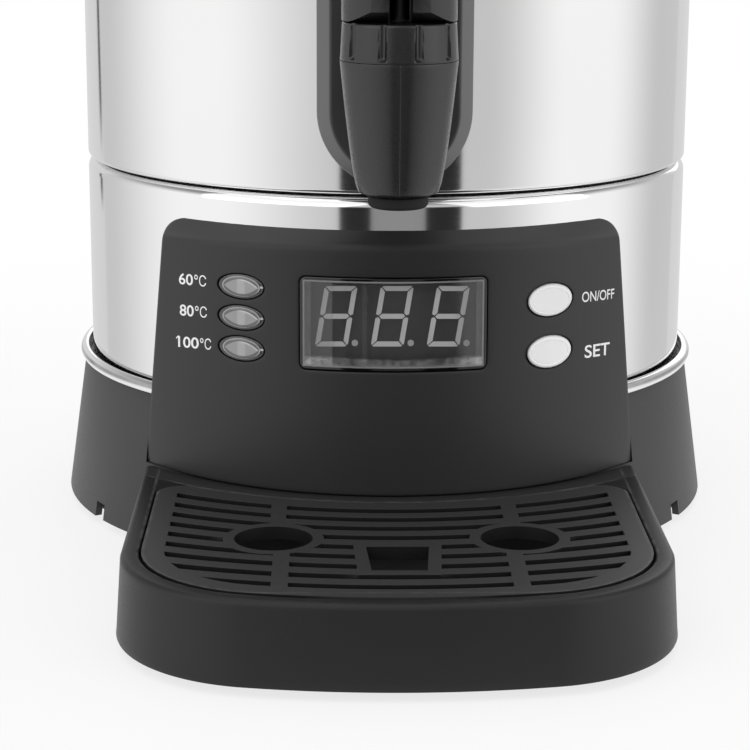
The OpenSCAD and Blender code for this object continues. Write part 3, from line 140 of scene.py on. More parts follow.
# Camera fitted to the photograph: its place in metres, its angles in degrees
SENSOR = 36.0
PHOTO_PX = 750.0
FOCAL_PX = 2232.0
CAMERA_PLACE = (-0.0198, -0.8283, 0.2417)
LOOK_DOWN = 13.60
LOOK_RIGHT = 1.11
ROLL = 0.25


# Materials

class Wire:
    """A node's output that takes part in Python arithmetic: each operator adds one Math node."""

    def __init__(self, tree, output=None):
        self.tree = tree
        self.output = output

    def node(self, kind, inputs=None, out=0, **settings):
        """Adds a node: its settings come first, then the values or links of its sockets."""
        made = self.tree.nodes.new(kind)
        for key, value in settings.items():
            setattr(made, key, value)
        for key, value in (inputs or {}).items():
            if isinstance(value, Wire):
                self.tree.links.new(value.output, made.inputs[key])
            else:
                made.inputs[key].default_value = value
        return Wire(self.tree, made.outputs[out])

    def other(self, out):
        """Another output of the same node."""
        return Wire(self.tree, self.output.node.outputs[out])

    def math(self, operation, value=0.0, swap=False):
        """One Math node on this output and a value, or on the value and this output when swapped."""
        first, second = (value, self) if swap else (self, value)
        return self.node("ShaderNodeMath", {0: first, 1: second}, operation=operation)

    def __add__(self, value):
        return self.math("ADD", value)

    def __sub__(self, value):
        return self.math("SUBTRACT", value)

    def __rsub__(self, value):
        return self.math("SUBTRACT", value, swap=True)

    def __mul__(self, value):
        return self.math("MULTIPLY", value)

    def __abs__(self):
        return self.math("ABSOLUTE")

    def between(self, low, high):
        """A smooth step: 0 up to low, 1 from high on, or the other way when low is above high."""
        ends = {"Value": self, "From Min": low, "From Max": high}
        return self.node("ShaderNodeMapRange", ends, interpolation_type="SMOOTHSTEP")

    __radd__ = __add__
    __rmul__ = __mul__


def grey(level, warmth=0.0):
    """A linear colour from a display level between 0 and 255, slightly warmer or cooler."""
    share = level / 255.0
    value = share / 12.92 if share <= 0.04045 else ((share + 0.055) / 1.055) ** 2.4
    return (value * (1.0 + warmth), value, value * (1.0 - warmth), 1.0)


def even(level):
    """A linear grey."""
    return (level, level, level, 1.0)


def start_finish(name, plain):
    """A material whose Principled shader has these plain values, and a wire at its Object coordinates."""
    material = bpy.data.materials.new(name)
    material.use_nodes = True
    shader = material.node_tree.nodes["Principled BSDF"]
    for key, value in plain.items():
        shader.inputs[key].default_value = value
    place = Wire(material.node_tree).node("ShaderNodeTexCoord", out="Object")
    return material, shader, place


def feed(shader, wires):
    """Links each wire to the shader's socket of that name."""
    for key, wire in wires.items():
        wire.tree.links.new(wire.output, shader.inputs[key])


def noise(place, scale, detail=2.0, stretch=None):
    """A noise pattern on the piece's own coordinates, squeezed along its axes by stretch."""
    if stretch:
        place = place.node("ShaderNodeMapping", {"Vector": place, "Scale": stretch})
    return place.node("ShaderNodeTexNoise", {"Vector": place, "Scale": scale, "Detail": detail})


def spread(place):
    """The three coordinates of a place, in millimetres."""
    x = place.node("ShaderNodeSeparateXYZ", {"Vector": place})
    return x * 1000.0, x.other("Y") * 1000.0, x.other("Z") * 1000.0


def distance(first, second):
    """The length of a flat vector from its two parts."""
    return (first * first + second * second).math("SQRT")


def blend(first, second, share):
    """A colour between the first and the second."""
    return share.node("ShaderNodeMix", {0: share, 6: first, 7: second}, out=2, data_type="RGBA")


def relief(height, strength, depth):
    """A bump from a height pattern."""
    return height.node("ShaderNodeBump", {"Strength": strength, "Distance": depth, "Height": height})


def plastic_gloss(roughness, drift, pores):
    """A roughness that wanders with the drift of tone and the grain."""
    return roughness + (drift - 0.5) * 0.08 + (pores - 0.5) * 0.16


def moulded_plastic(name, tone, roughness, gloss=0.35, grain=PORE_SCALE, depth=PORE_DEPTH):
    """Spark-eroded plastic: a fine grain in relief and gloss, and a slow drift of tone."""
    material, shader, place = start_finish(name, {"Specular IOR Level": gloss})
    drift = noise(place, DRIFT_SCALE, 3.0)
    pores = noise(place, grain, 2.0)
    feed(shader, {
        "Base Color": blend(grey(tone * 0.9), grey(tone * 1.1), drift),
        "Roughness": plastic_gloss(roughness, drift, pores),
        "Normal": relief(pores, 0.35, depth),
    })
    return material


def polished_steel(name, tone, roughness, metallic=1.0):
    """Polished or satin sheet: hairlines around the body in gloss, and a faint cloud of handling."""
    material, shader, place = start_finish(name, {"Metallic": metallic})
    hairlines = noise(place, 1.0, 3.0, (6.0, 6.0, 1400.0))
    cloud = noise(place, 11.0, 2.0)
    feed(shader, {
        "Base Color": blend(grey(tone - 4.0), grey(tone + 4.0), cloud),
        "Roughness": roughness + (hairlines - 0.5) * 0.05 + (cloud - 0.5) * 0.03,
        "Normal": relief(hairlines, 0.02, 0.00001),
    })
    return material


def trim_steel(name):
    """Rolled trim: a painted darker stripe along its middle that stands for the reflection on its rolled
    section, and painted shade where it meets the skirt.
    """
    material, shader, place = start_finish(name, {"Metallic": 1.0})
    z = spread(place)[2]
    cloud = noise(place, 90.0, 4.0)
    # painted reflection: a darker stripe along the ring's middle, broken by the cloud
    line = abs(z - TRIM_HIGH_Z + 1.5).between(0.9, 0.2) * (0.5 + cloud)
    shade = blend(grey(236.0), grey(168.0), line)
    feed(shader, {
        # painted shade: the ring turns dark grey where it meets the skirt
        "Base Color": blend(grey(70.0), shade, z.between(TRIM_LOW_Z + 0.2, TRIM_LOW_Z + 1.2)),
        "Roughness": 0.12 + cloud * 0.1,
        "Normal": relief(cloud, 0.05, 0.00002),
    })
    return material


def worked_metal(name, colour, roughness, scale=400.0):
    """Plated or machined metal: a fine grain in gloss and tone."""
    material, shader, place = start_finish(name, {"Metallic": 1.0})
    grain = noise(place, scale, 3.0)
    dark = tuple(c * 0.82 for c in colour[:3]) + (1.0,)
    feed(shader, {
        "Base Color": blend(dark, colour, grain),
        "Roughness": roughness + (grain - 0.5) * 0.2,
        "Normal": relief(grain, 0.1, 0.00003),
    })
    return material


def soft_rubber(name, tone, roughness, warmth=0.0):
    """Rubber or silicone: matt, with a dusty cloud."""
    material, shader, place = start_finish(name, {"Specular IOR Level": 0.25})
    dust = noise(place, 60.0, 4.0)
    feed(shader, {
        "Base Color": blend(grey(tone * 0.92, warmth), grey(tone * 1.12, warmth), dust),
        "Roughness": roughness + (dust - 0.5) * 0.2,
        "Normal": relief(dust, 0.15, 0.00005),
    })
    return material


def clear_plastic(name, tone, share, roughness):
    """See-through plastic: a constant share of its own tone, with faint smears in its gloss."""
    material, shader, place = start_finish(name, {"Alpha": share, "Coat Weight": 0.6, "Coat Roughness": 0.04})
    smear = noise(place, 45.0, 3.0, (1.0, 1.0, 0.4))
    feed(shader, {
        "Base Color": blend(grey(tone * 0.85), grey(tone * 1.15), smear),
        "Roughness": roughness + (smear - 0.5) * 0.06,
    })
    return material


def speckled(name, colour, roughness, scale):
    """A body-coloured part with a fine speckle: boards, relays and ceramics."""
    material, shader, place = start_finish(name, {"Specular IOR Level": 0.4})
    speck = noise(place, scale, 4.0)
    dark = tuple(c * 0.75 for c in colour[:3]) + (1.0,)
    feed(shader, {
        "Base Color": blend(dark, colour, speck),
        "Roughness": roughness + (speck - 0.5) * 0.15,
        "Normal": relief(speck, 0.1, 0.00004),
    })
    return material


def tray_plastic(name, tone, rim, deep, roughness, top, foot, lip, rear_lip, pillow=0.0):
    """Tray and grate plastic: wall, rim and hollows each in a tone, with painted shade on the top rim and the
    grate's hollows, painted light on the rear rim and the tray's shaded basin, a soft border, and a pale lip
    that is partly scuff and partly painted highlight.
    """
    material, shader, place = start_finish(name, {"Specular IOR Level": 0.35})
    x, y, z = spread(place)
    drift = noise(place, DRIFT_SCALE, 3.0)
    pores = noise(place, PORE_SCALE, 2.0)
    across = (abs(x) - TRAY_CORNER[0]).math("MAXIMUM", 0.0)
    ahead = (TRAY_CORNER[1] - y).math("MAXIMUM", 0.0)
    corner = TRAY_CORNER_R - distance(across, ahead)
    bow = TRAY_BOW_R - distance(x, y - TRAY_BOW_Y)
    inset = corner.math("MINIMUM", bow)
    reach = distance(x, y)
    # painted shade in the grate's slots and holes below its top; painted light on the tray's shaded basin,
    # given a paler tone
    hollow = inset.between(5.0, 6.5) * reach.between(123.0, 125.0) * z.between(top, foot)
    # the pale lip line is partly scuff, broken by noise, and partly a painted highlight where the edge
    # catches the light
    edge = abs(inset - lip).between(0.7, 0.1).math("MAXIMUM", abs(reach - rear_lip).between(0.7, 0.1))
    scuff = noise(place, 260.0, 5.0).between(0.2, 0.8) * edge
    body = blend(grey(tone * 0.9), grey(tone * 1.12), drift)
    on_top = z.between(TRAY_TOP_Z - 3.0, TRAY_TOP_Z - 0.5)
    # painted shade: the top rim a little darker than the wall
    body = blend(body, grey(rim), inset.between(1.0, 3.0) * on_top)
    # painted light: the rear rim paler, lifting it out of the shade under the panel
    body = blend(body, grey(rim * 1.8), reach.between(127.5, 125.5) * on_top)
    body = blend(body, grey(84.0), scuff)
    height = pores + inset.between(7.0, 16.0) * pillow
    feed(shader, {
        "Base Color": blend(body, grey(deep), hollow),
        "Roughness": plastic_gloss(roughness, drift, pores),
        "Normal": relief(height, 0.35, PORE_DEPTH),
    })
    return material


def panel_plastic(name):
    """The panel's plastic: painted light and shade on the strip above its fold, paler towards its ends, and
    painted shade in the middle above the window.
    """
    material, shader, place = start_finish(name, {"Specular IOR Level": 0.4})
    x, _, z = spread(place)
    pores = noise(place, PORE_SCALE, 2.0)
    drift = noise(place, DRIFT_SCALE, 3.0)
    wide = abs(x) * (1 / FOLD_HALF)
    # painted light and shade on the upward strip above the fold: dark in its middle, paler towards its ends
    above = (z - FOLD_Z + wide * wide * FOLD_SAG).between(-0.6, 0.8)
    # painted shade: darker in the middle of the front
    shade = z.between(55.0, 108.0) * wide.between(0.95, 0.1)
    front = blend(grey(38.0), grey(43.0), drift)
    front = blend(front, grey(27.0), shade)
    feed(shader, {
        "Base Color": blend(front, blend(grey(28.0), grey(60.0), wide.between(0.1, 0.8)), above),
        "Roughness": plastic_gloss(0.42, drift, pores),
        "Normal": relief(pores, 0.35, PORE_DEPTH),
    })
    return material


def gauge_plastic(name):
    """The gauge cover's plastic: a polished chamfer, paler than its front through a painted reflection."""
    material, shader, place = start_finish(name, {"Specular IOR Level": 0.5})
    y = spread(place)[1]
    pores = noise(place, PORE_SCALE, 2.0)
    drift = noise(place, 14.0, 3.0)
    chamfer = y.between(COVER_Y + 0.15, COVER_Y + 0.8) * y.between(COVER_Y + 7.5, COVER_Y + 4.9)
    front = blend(grey(40.0), grey(46.0), drift)
    feed(shader, {
        # painted reflection: the chamfer in a paler grey than the front
        "Base Color": blend(front, grey(101.0), chamfer),
        "Roughness": 0.42 - chamfer * 0.1 + (pores - 0.5) * 0.12,
        "Normal": relief(pores, 0.3, 0.00005),
    })
    return material


def window_plastic(name):
    """The smoked window: a black border, a thin pale frame line and a clear middle with soft streaks."""
    material, shader, place = start_finish(name, {"Coat Weight": 0.5, "Coat Roughness": 0.03})
    x, _, z = spread(place)
    inset = (WINDOW_W / 2 - abs(x)).math("MINIMUM", WINDOW_H / 2 - abs(z - WINDOW_Z))
    border = inset.between(1.3, 1.0)
    line = inset.between(1.0, 1.2) * inset.between(1.75, 1.55)
    streak = noise(place, 1.0, 2.0, (170.0, 1.0, 12.0)).between(0.5, 0.75)
    scuff = noise(place, 420.0, 3.0).between(0.3, 0.7)
    foot_z = WINDOW_Z - 11.6
    foot = (z - abs(x) * 0.012).between(foot_z + 0.4, foot_z - 0.4) * (0.15 + scuff * 0.25)
    ends = x.between(-19.6, -20.4).math("MAXIMUM", x.between(19.0, 24.5))
    side = abs(x).between(26.8, 27.4) * (0.16 + scuff * 0.14)
    seam = abs(x + 9.5).between(1.2, 0.6)
    pale = streak * 0.12 + 0.4 * ends + 0.15 * seam + foot
    shade = blend(grey(16.0), grey(190.0), pale)
    veil = 0.1 + 0.3 * pale + 0.9 * foot + side
    feed(shader, {
        "Base Color": blend(blend(shade, grey(6.0), border), grey(140.0), line),
        "Alpha": veil.math("MAXIMUM", border).math("MAXIMUM", line * 0.8),
        "Roughness": 0.06 + streak * 0.05,
    })
    return material


def lens_plastic(name):
    """An indicator lens: a dark clear ring, a pale oval line and a pointed oval, with a painted highlight
    along the oval's upper edge and a painted glint at its right end.
    """
    material, shader, place = start_finish(name, {"Coat Weight": 0.8, "Coat Roughness": 0.04, "Alpha": 0.94})
    x, _, z = spread(place)
    rise = z - (LENS_Z[-1] - LENS_PITCH / 2)
    u = (x - LENS_X) * (2 / LENS_W)
    v = (rise.math("MODULO", LENS_PITCH) - LENS_PITCH / 2) * (2 / LENS_H)
    reach = distance(u, v)
    arch = 0.6 - u * u * 1.1
    almond = (arch - abs(v)).between(-0.04, 0.04)
    # painted highlight along the upper right edge of the pointed oval
    streak = (arch - v).between(0.16, 0.06) * almond * u.between(-0.2, 0.1)
    middle = abs(u).between(0.22, 0.12)
    line = abs(reach - 0.8).between(0.035, 0.015) * 0.6
    # painted glint at the right end of the lens
    glint = distance(u - 0.9, v * 0.7 - 0.05).between(0.09, 0.04)
    speck = noise(place, 700.0, 3.0)
    shade = blend(grey(40.0), grey(92.0), reach.between(0.84, 0.78))
    shade = blend(shade, blend(grey(150.0), grey(178.0), middle * 0.7 + speck * 0.3), almond)
    shade = blend(shade, grey(205.0), (line + glint + streak).math("MINIMUM", 1.0))
    feed(shader, {
        "Base Color": shade,
        "Roughness": 0.12 + speck * 0.1,
        "Normal": relief(speck, 0.05, 0.00003),
    })
    return material


FINISHES = {
    "polished_steel": polished_steel("polished_steel", 232.0, 0.085),
    "tank_steel": polished_steel("tank_steel", 226.0, 0.35, 0.2),
    "zinc_steel": worked_metal("zinc_steel", grey(196.0), 0.34),
    "stem_steel": worked_metal("stem_steel", grey(70.0), 0.38),
    "black_plastic": moulded_plastic("black_plastic", 36.0, 0.42),
    "grate_plastic": tray_plastic(
        "grate_plastic", tone=51.0, rim=51.0, deep=20.0, roughness=0.5, top=29.28, foot=29.18, lip=8.6,
        rear_lip=128.1, pillow=14.0),
    "tap_plastic": moulded_plastic("tap_plastic", 22.0, 0.3, 0.6),
    "handle_plastic": moulded_plastic("handle_plastic", 38.0, 0.45),
    "gland_plastic": moulded_plastic("gland_plastic", 32.0, 0.5),
    "black_rubber": soft_rubber("black_rubber", 30.0, 0.72),
    "silicone": soft_rubber("silicone", 196.0, 0.5, 0.02),
    "smoked_window": window_plastic("smoked_window"),
    "clear_lens": clear_plastic("clear_lens", 190.0, 0.42, 0.06),
    "module_black": soft_rubber("module_black", 72.0, 0.45),
    "segment_grey": moulded_plastic("segment_grey", 214.0, 0.5),
    "led_white": soft_rubber("led_white", 236.0, 0.3, 0.02),
    "silver_button": moulded_plastic("silver_button", 228.0, 0.32, 0.5),
    "board_green": speckled("board_green", (0.03, 0.11, 0.06, 1.0), 0.45, 900.0),
    "relay_blue": speckled("relay_blue", (0.04, 0.16, 0.38, 1.0), 0.45, 1200.0),
    "brass": worked_metal("brass", (0.62, 0.46, 0.2, 1.0), 0.3),
    "heater_aluminium": worked_metal("heater_aluminium", grey(190.0), 0.42),
    "element_sheath": worked_metal("element_sheath", grey(120.0, 0.04), 0.5),
    "ceramic": speckled("ceramic", grey(222.0, 0.03), 0.5, 1500.0),
}
PRINT = moulded_plastic("panel_print", 244.0, 0.55, 0.3, grain=3000.0, depth=0.00001)
PANEL = panel_plastic("panel_plastic")
COVER = gauge_plastic("gauge_plastic")
LENS = lens_plastic("indicator_plastic")
LID = polished_steel("lid_steel", 206.0, 0.18)
TRAY = tray_plastic(
    "tray_plastic", tone=29.0, rim=25.0, deep=95.0, roughness=0.43, top=26.0, foot=23.0, lip=6.9,
    rear_lip=126.4)
SKIRT = moulded_plastic("skirt_plastic", 59.0, 0.46)
TRIM = trim_steel("trim_steel")
DOTS = moulded_plastic("dot_plastic", 186.0, 0.5)
BUTTON = moulded_plastic("button_plastic", 250.0, 0.32, 0.5, depth=0.00002)

for row in frame["record"]["subparts"]:
    for holder in frame["nodes"][row["node"]].material_slots:
        holder.material = SKIRT if row["node"] == "base_skirt" else FINISHES[row["material_slot"]]


# Shapes

def quads(rows, cols, wrap_rows=False, wrap_cols=True):
    """Faces of a grid of points stored row by row, joined end to end where it wraps."""
    down = np.arange(rows if wrap_rows else rows - 1)[:, None]
    along = np.arange(cols if wrap_cols else cols - 1)
    below = (down + 1) % rows
    beside = (along + 1) % cols
    corners = [down * cols + along, down * cols + beside, below * cols + beside, below * cols + along]
    return np.stack(corners, -1).reshape(-1, 4).tolist()


def end_caps(rows, cols):
    """The first and the last row of a grid, each as one face."""
    return [list(range(cols)), list(range((rows - 1) * cols, rows * cols))]


def shown(name, mesh, finish, crease):
    """An object in the scene from a mesh, in one material and smooth up to the crease angle."""
    mesh.shade_smooth()
    mesh.set_sharp_from_angle(angle=math.radians(crease))
    mesh.materials.clear()
    mesh.materials.append(finish)
    piece = bpy.data.objects.new(name, mesh)
    scene.collection.objects.link(piece)
    return piece


def make_piece(name, points, faces, slot, stands_for=(), body="root", finish=None, crease=35.0, sheet=0.0):
    """A piece from points in millimetres: doubles merged, faces outwards, smooth up to the crease angle."""
    mesh = bpy.data.meshes.new(name)
    mesh.from_pydata((np.asarray(points) * MM).tolist(), [], faces)
    work = bmesh.new()
    work.from_mesh(mesh)
    bmesh.ops.remove_doubles(work, verts=work.verts, dist=MERGE)
    bmesh.ops.recalc_face_normals(work, faces=work.faces)
    if sheet:
        bmesh.ops.solidify(work, geom=work.faces[:], thickness=sheet * MM)
        bmesh.ops.recalc_face_normals(work, faces=work.faces)
    work.to_mesh(mesh)
    work.free()
    piece = shown(name, mesh, finish or FINISHES[slot], crease)
    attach(piece, body)
    if stands_for:
        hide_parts(*stands_for)
    return piece


def joined(parts):
    """Several (points, faces) shapes as one, each shape's faces counted on from the last."""
    points, faces, start = [], [], 0
    for shape, shape_faces in parts:
        points.append(shape)
        faces += [[index + start for index in face] for face in shape_faces]
        start += len(shape)
    return np.concatenate(points), faces


def unit(vectors):
    """Vectors of length one."""
    return vectors / np.linalg.norm(vectors, axis=-1, keepdims=True)


def rounded(corners, radii, steps=8, closed=True):
    """An outline whose corners become arcs that touch both sides at r / tan(half angle) from the corner."""
    corners = np.asarray(corners, float)
    count = len(corners)
    made = []
    for i, radius in enumerate(radii):
        corner = corners[i]
        if radius <= 0 or (not closed and i in (0, count - 1)):
            made.append(corner[None])
            continue
        back = unit(corners[i - 1] - corner)
        ahead = unit(corners[(i + 1) % count] - corner)
        half = math.acos(np.clip(back @ ahead, -1, 1)) / 2
        centre = corner + unit(back + ahead) * radius / math.sin(half)
        first = corner + back * radius / math.tan(half) - centre
        last = corner + ahead * radius / math.tan(half) - centre
        start = math.atan2(first[1], first[0])
        turn = (math.atan2(last[1], last[0]) - start + 3 * math.pi) % (2 * math.pi) - math.pi
        angle = start + turn * np.linspace(0, 1, steps + 1)
        made.append(centre + radius * np.stack([np.cos(angle), np.sin(angle)], -1))
    return np.concatenate(made)


def refined(loop, step):
    """A closed loop with each side cut into equal lengths no longer than step."""
    ends = np.roll(loop, -1, 0)
    parts = np.maximum(1, np.ceil(np.linalg.norm(ends - loop, axis=1) / step).astype(int))
    start = np.repeat(loop, parts, 0)
    side = np.repeat(ends - loop, parts, 0)
    first = np.repeat(np.cumsum(parts) - parts, parts)
    share = (np.arange(parts.sum()) - first) / np.repeat(parts, parts)
    return start + side * share[:, None]


def lathe(profile, turns=256, x=0.0, y=0.0, closed=True):
    """A profile of (r, z) turned about an upright axis: x + r cos t, y + r sin t, z."""
    angle = turns if isinstance(turns, np.ndarray) else np.linspace(0, 2 * np.pi, turns, endpoint=False)
    r = profile[:, :1]
    z = profile[:, 1:] + 0 * angle
    points = np.stack([x + r * np.cos(angle), y + r * np.sin(angle), z], -1)
    return points.reshape(-1, 3), quads(len(profile), len(angle), closed)


def y_lathe(profile, turns, x, z):
    """A closed profile of (r, y) turned about an axis along Y."""
    points, faces = lathe(profile, turns)
    return np.stack([x + points[:, 0], points[:, 2], z + points[:, 1]], -1), faces


def ellipse(width, height, centre, count=72):
    """A loop about a centre: half the width along the first axis, half the height along the second."""
    t = np.linspace(0, 2 * np.pi, count, endpoint=False)
    return np.stack([centre[0] + width / 2 * np.cos(t), centre[1] + height / 2 * np.sin(t)], -1)


def box_loop(width, height, centre, corner):
    """A rectangle with round corners about a centre."""
    half = np.array([width, height]) / 2
    corners = np.array([[-1, -1], [1, -1], [1, 1], [-1, 1]]) * half + np.array(centre)
    return rounded(corners, [corner] * 4)


def turned_left(loop, leftward):
    """The loop in the order that has its inside, or its outside, on the left."""
    ahead = np.roll(loop, -1, 0)
    area = np.sum(loop[:, 0] * ahead[:, 1] - ahead[:, 0] * loop[:, 1])
    return loop if (area > 0) == leftward else loop[::-1]


def moved(loop, inset):
    """A loop moved to its left by an inset, each point along the mitre of its two sides."""
    ahead = unit(np.roll(loop, -1, 0) - loop)
    back = np.roll(ahead, 1, 0)
    normals = np.stack([-ahead[:, 1], ahead[:, 0]], -1), np.stack([-back[:, 1], back[:, 0]], -1)
    total = normals[0] + normals[1]
    lengths = np.maximum(1 + np.sum(normals[0] * normals[1], -1, keepdims=True), 0.3)
    return loop + inset * total / lengths


def inside(points, loop):
    """Whether each point is inside a loop, by the count of sides to its right."""
    ahead = np.roll(loop, -1, 0)
    px, py = points[:, :1], points[:, 1:]
    across = (loop[:, 1] > py) != (ahead[:, 1] > py)
    rise = np.where(ahead[:, 1] == loop[:, 1], 1.0, ahead[:, 1] - loop[:, 1])
    meet = loop[:, 0] + (py - loop[:, 1]) * (ahead[:, 0] - loop[:, 0]) / rise
    return np.sum(across & (px < meet), axis=1) % 2 == 1


def filled(outline, holes, within):
    """Triangles between an outline and its holes, through the points within that lie clear of both."""
    loops = [outline, *holes]
    starts = np.cumsum([0] + [len(loop) for loop in loops])
    sides = [np.stack([np.arange(a, b), np.append(np.arange(a + 1, b), a)], -1)
             for a, b in zip(starts[:-1], starts[1:])]
    points = np.concatenate([*loops, within])
    corners = [Vector(p) for p in points.tolist()]
    made = delaunay_2d_cdt(corners, np.concatenate(sides).tolist(), [], 0, 1e-7, False)
    points = np.array([p[:] for p in made[0]])
    faces = np.array([face for face in made[2]])
    middle = points[faces].mean(1)
    keep = inside(middle, outline)
    for hole in holes:
        keep &= ~inside(middle, hole)
    return points, faces[keep].tolist()


def rim_rows(loop, rows, place):
    """A band along a loop: each row is how far it is moved in and how deep it lies under the surface."""
    points = np.concatenate([place(moved(loop, inset), depth) for inset, depth in rows])
    return points, quads(len(rows), len(loop))


def edge_arc(radius, steps=5):
    """Rows of a quarter round: from radius in on the surface to the edge, radius deep."""
    angle = np.linspace(0, np.pi / 2, steps + 1)
    return list(zip(radius * (1 - np.sin(angle)), radius * (1 - np.cos(angle))))


def plug(loop, place, rows, rings=10):
    """A closed cap on a loop: rings from its centre out, then rows of (moved in, depth), then a flat back."""
    middle = loop.mean(0)
    front = moved(loop, rows[0][0])
    share = np.linspace(0, 1, rings)[:, None, None]
    face = (middle + share * (front - middle)).reshape(-1, 2)
    bands = [place(moved(loop, inset), depth) for inset, depth in rows[1:]]
    back = place(middle + 0 * loop, rows[-1][1])
    points = np.concatenate([place(face, rows[0][1]), *bands, back])
    return points, quads(rings + len(rows), len(loop))


def eased_copy(name, node, width, slot, body="root", segments=2):
    """A merged copy of a CAD node with its sharp edges rounded by a bevel."""
    mesh = frame["nodes"][node].data.copy()
    mesh.name = name
    work = bmesh.new()
    work.from_mesh(mesh)
    bmesh.ops.remove_doubles(work, verts=work.verts, dist=MERGE)
    bmesh.ops.dissolve_limit(work, angle_limit=math.radians(0.5), verts=work.verts, edges=work.edges)
    work.to_mesh(mesh)
    work.free()
    piece = shown(name, mesh, FINISHES[slot], 35.0)
    ease = piece.modifiers.new("eased_edges", "BEVEL")
    ease.width = width * MM
    ease.segments = segments
    ease.limit_method = "ANGLE"
    ease.angle_limit = math.radians(40.0)
    ease.use_clamp_overlap = True
    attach(piece, body)
    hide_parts(node)
    return piece


# Steel body, trim and rim

def upper_steel():
    """The upper shell: its section turned about the body's axis, with a rolled hem at its foot."""
    foot_r, lip_r, wall_r = 95.0, 104.3, 108.8
    section = rounded(
        [[foot_r, UPPER_Z], [BODY_R, UPPER_Z], [BODY_R, UPPER_TOP_Z], [lip_r, UPPER_TOP_Z],
         [lip_r, UPPER_TOP_Z - STEEL_T], [wall_r, UPPER_TOP_Z - STEEL_T],
         [wall_r, UPPER_Z + STEEL_T], [foot_r, UPPER_Z + STEEL_T]],
        [0, 1.8, 0.5, 0, 0, 0, 0.6, 0], 10)
    points, faces = lathe(section, 320)
    make_piece("upper_steel_shell", points, faces, "polished_steel", ["outer_body"])


def lower_steel():
    """The lower shell: a sheet turned about the axis, open behind the panel, then given its thickness."""
    profile = rounded(
        [[97, SHELL_SEAT_Z], [BODY_R, SHELL_SEAT_Z], [BODY_R, OPENING_LOW_Z], [BODY_R, OPENING_HIGH_Z],
         [BODY_R, LOWER_TOP_Z], [95, LOWER_TOP_Z]],
        [0, 0.8, 0, 0, 4, 0], 10, closed=False)
    half = math.asin(OPENING_HALF / BODY_R)
    angles = FRONT + np.concatenate([
        np.linspace(-half, half, 24, endpoint=False),
        np.linspace(half, 2 * np.pi - half, 240, endpoint=False)])
    points, faces = lathe(profile, angles, closed=False)
    middle = points[np.array(faces)].mean(1)
    front = (np.abs(middle[:, 0]) < OPENING_HALF) & (middle[:, 1] < 0)
    level = (middle[:, 2] > OPENING_LOW_Z) & (middle[:, 2] < OPENING_HIGH_Z)
    wall = np.hypot(*middle[:, :2].T) > BODY_R - 2.0
    faces = np.array(faces)[~(front & level & wall)].tolist()
    make_piece("lower_steel_shell", points, faces, "polished_steel", ["lower_shell"], sheet=STEEL_T)


def rolled_trim():
    """The bright ring above the skirt: a rounded section along the arc between the panel's sides."""
    inner, outer = 111.5, 114.5
    section = rounded(
        [[inner, TRIM_LOW_Z], [outer, TRIM_LOW_Z], [outer, TRIM_HIGH_Z], [inner, TRIM_HIGH_Z]],
        [0.3, 2.1, 2.2, 0.7], 10)
    share = np.linspace(0, 1, 300)
    gap = np.arcsin(TRIM_GAP_HALF / section[:, :1])
    angles = FRONT + gap + (2 * np.pi - 2 * gap) * share
    points = np.stack([section[:, :1] * np.cos(angles), section[:, :1] * np.sin(angles),
                       section[:, 1:] + 0 * angles], -1)
    faces = quads(len(section), len(share), True, False)
    ends = np.arange(len(section)) * len(share)
    faces += [ends.tolist(), (ends + len(share) - 1).tolist()]
    make_piece("rolled_trim_ring", points.reshape(-1, 3), faces, "polished_steel", ["trim_ring"], finish=TRIM)


def rim_and_lid():
    """The rim, the lid, its knob and its vent: sections turned about the body's axis."""
    rim = rounded(
        [[110.2, 418.9], [112.8, 418.9], [112.8, 438.1], [106, 438.1], [106, 433.1], [101.2, 433.1],
         [101.2, 429.1], [110.2, 429.1]],
        [0, 0.8, 2.2, 1.0, 0.3, 0.8, 0, 0])
    make_piece("rim_moulding", *lathe(rim, 320), "black_plastic", ["rim_ring"])
    edge_r, crown_r, edge_z, crown_h, crown_z = 98.4, 14.0, 436.6, 15.0, 451.6
    t = np.linspace(0, 1, 60)
    top = np.stack([edge_r + (crown_r - edge_r) * t, edge_z + crown_h * np.sin(np.pi / 2 * t)], -1)
    under = top[::-1] - [0, STEEL_T]
    lid = np.concatenate([
        [[105.0, 435.4], [105.4, 435.6], [105.4, 436.4], [105.0, 436.6]], top,
        [[0, crown_z], [0, crown_z - STEEL_T]], under])
    make_piece("steel_lid", *lathe(lid, 320), "polished_steel", ["lid_shell"], "lid", LID)
    knob = np.concatenate([
        [[0, crown_z], [12.6, crown_z], [13, 452.0]],
        rounded([[13, 452], [10, 455], [10, 458.6], [21, 460.6], [21, 477.6], [0, 477.6]],
                [0, 2.2, 2.0, 3.0, 6.0, 0], 10, closed=False)])
    make_piece("moulded_knob", *lathe(knob, 160, closed=False), "handle_plastic", ["lid_knob"], "lid")
    vent_y, vent_z = 49.2, 448.5
    vent = [[0, 0.6], [1.9, 0.6], [2.2, 1.1], [2.9, 1.4], [3.7, 0.9], [3.9, -1.4], [0, -1.4]]
    vent = rounded(np.array(vent) + [0, vent_z], [0, 0.3, 0.3, 0.4, 0.4, 0, 0], 4)
    make_piece("vent_grommet", *lathe(vent, 64, 0.0, vent_y), "black_rubber", body="lid")


# Tap and level gauge

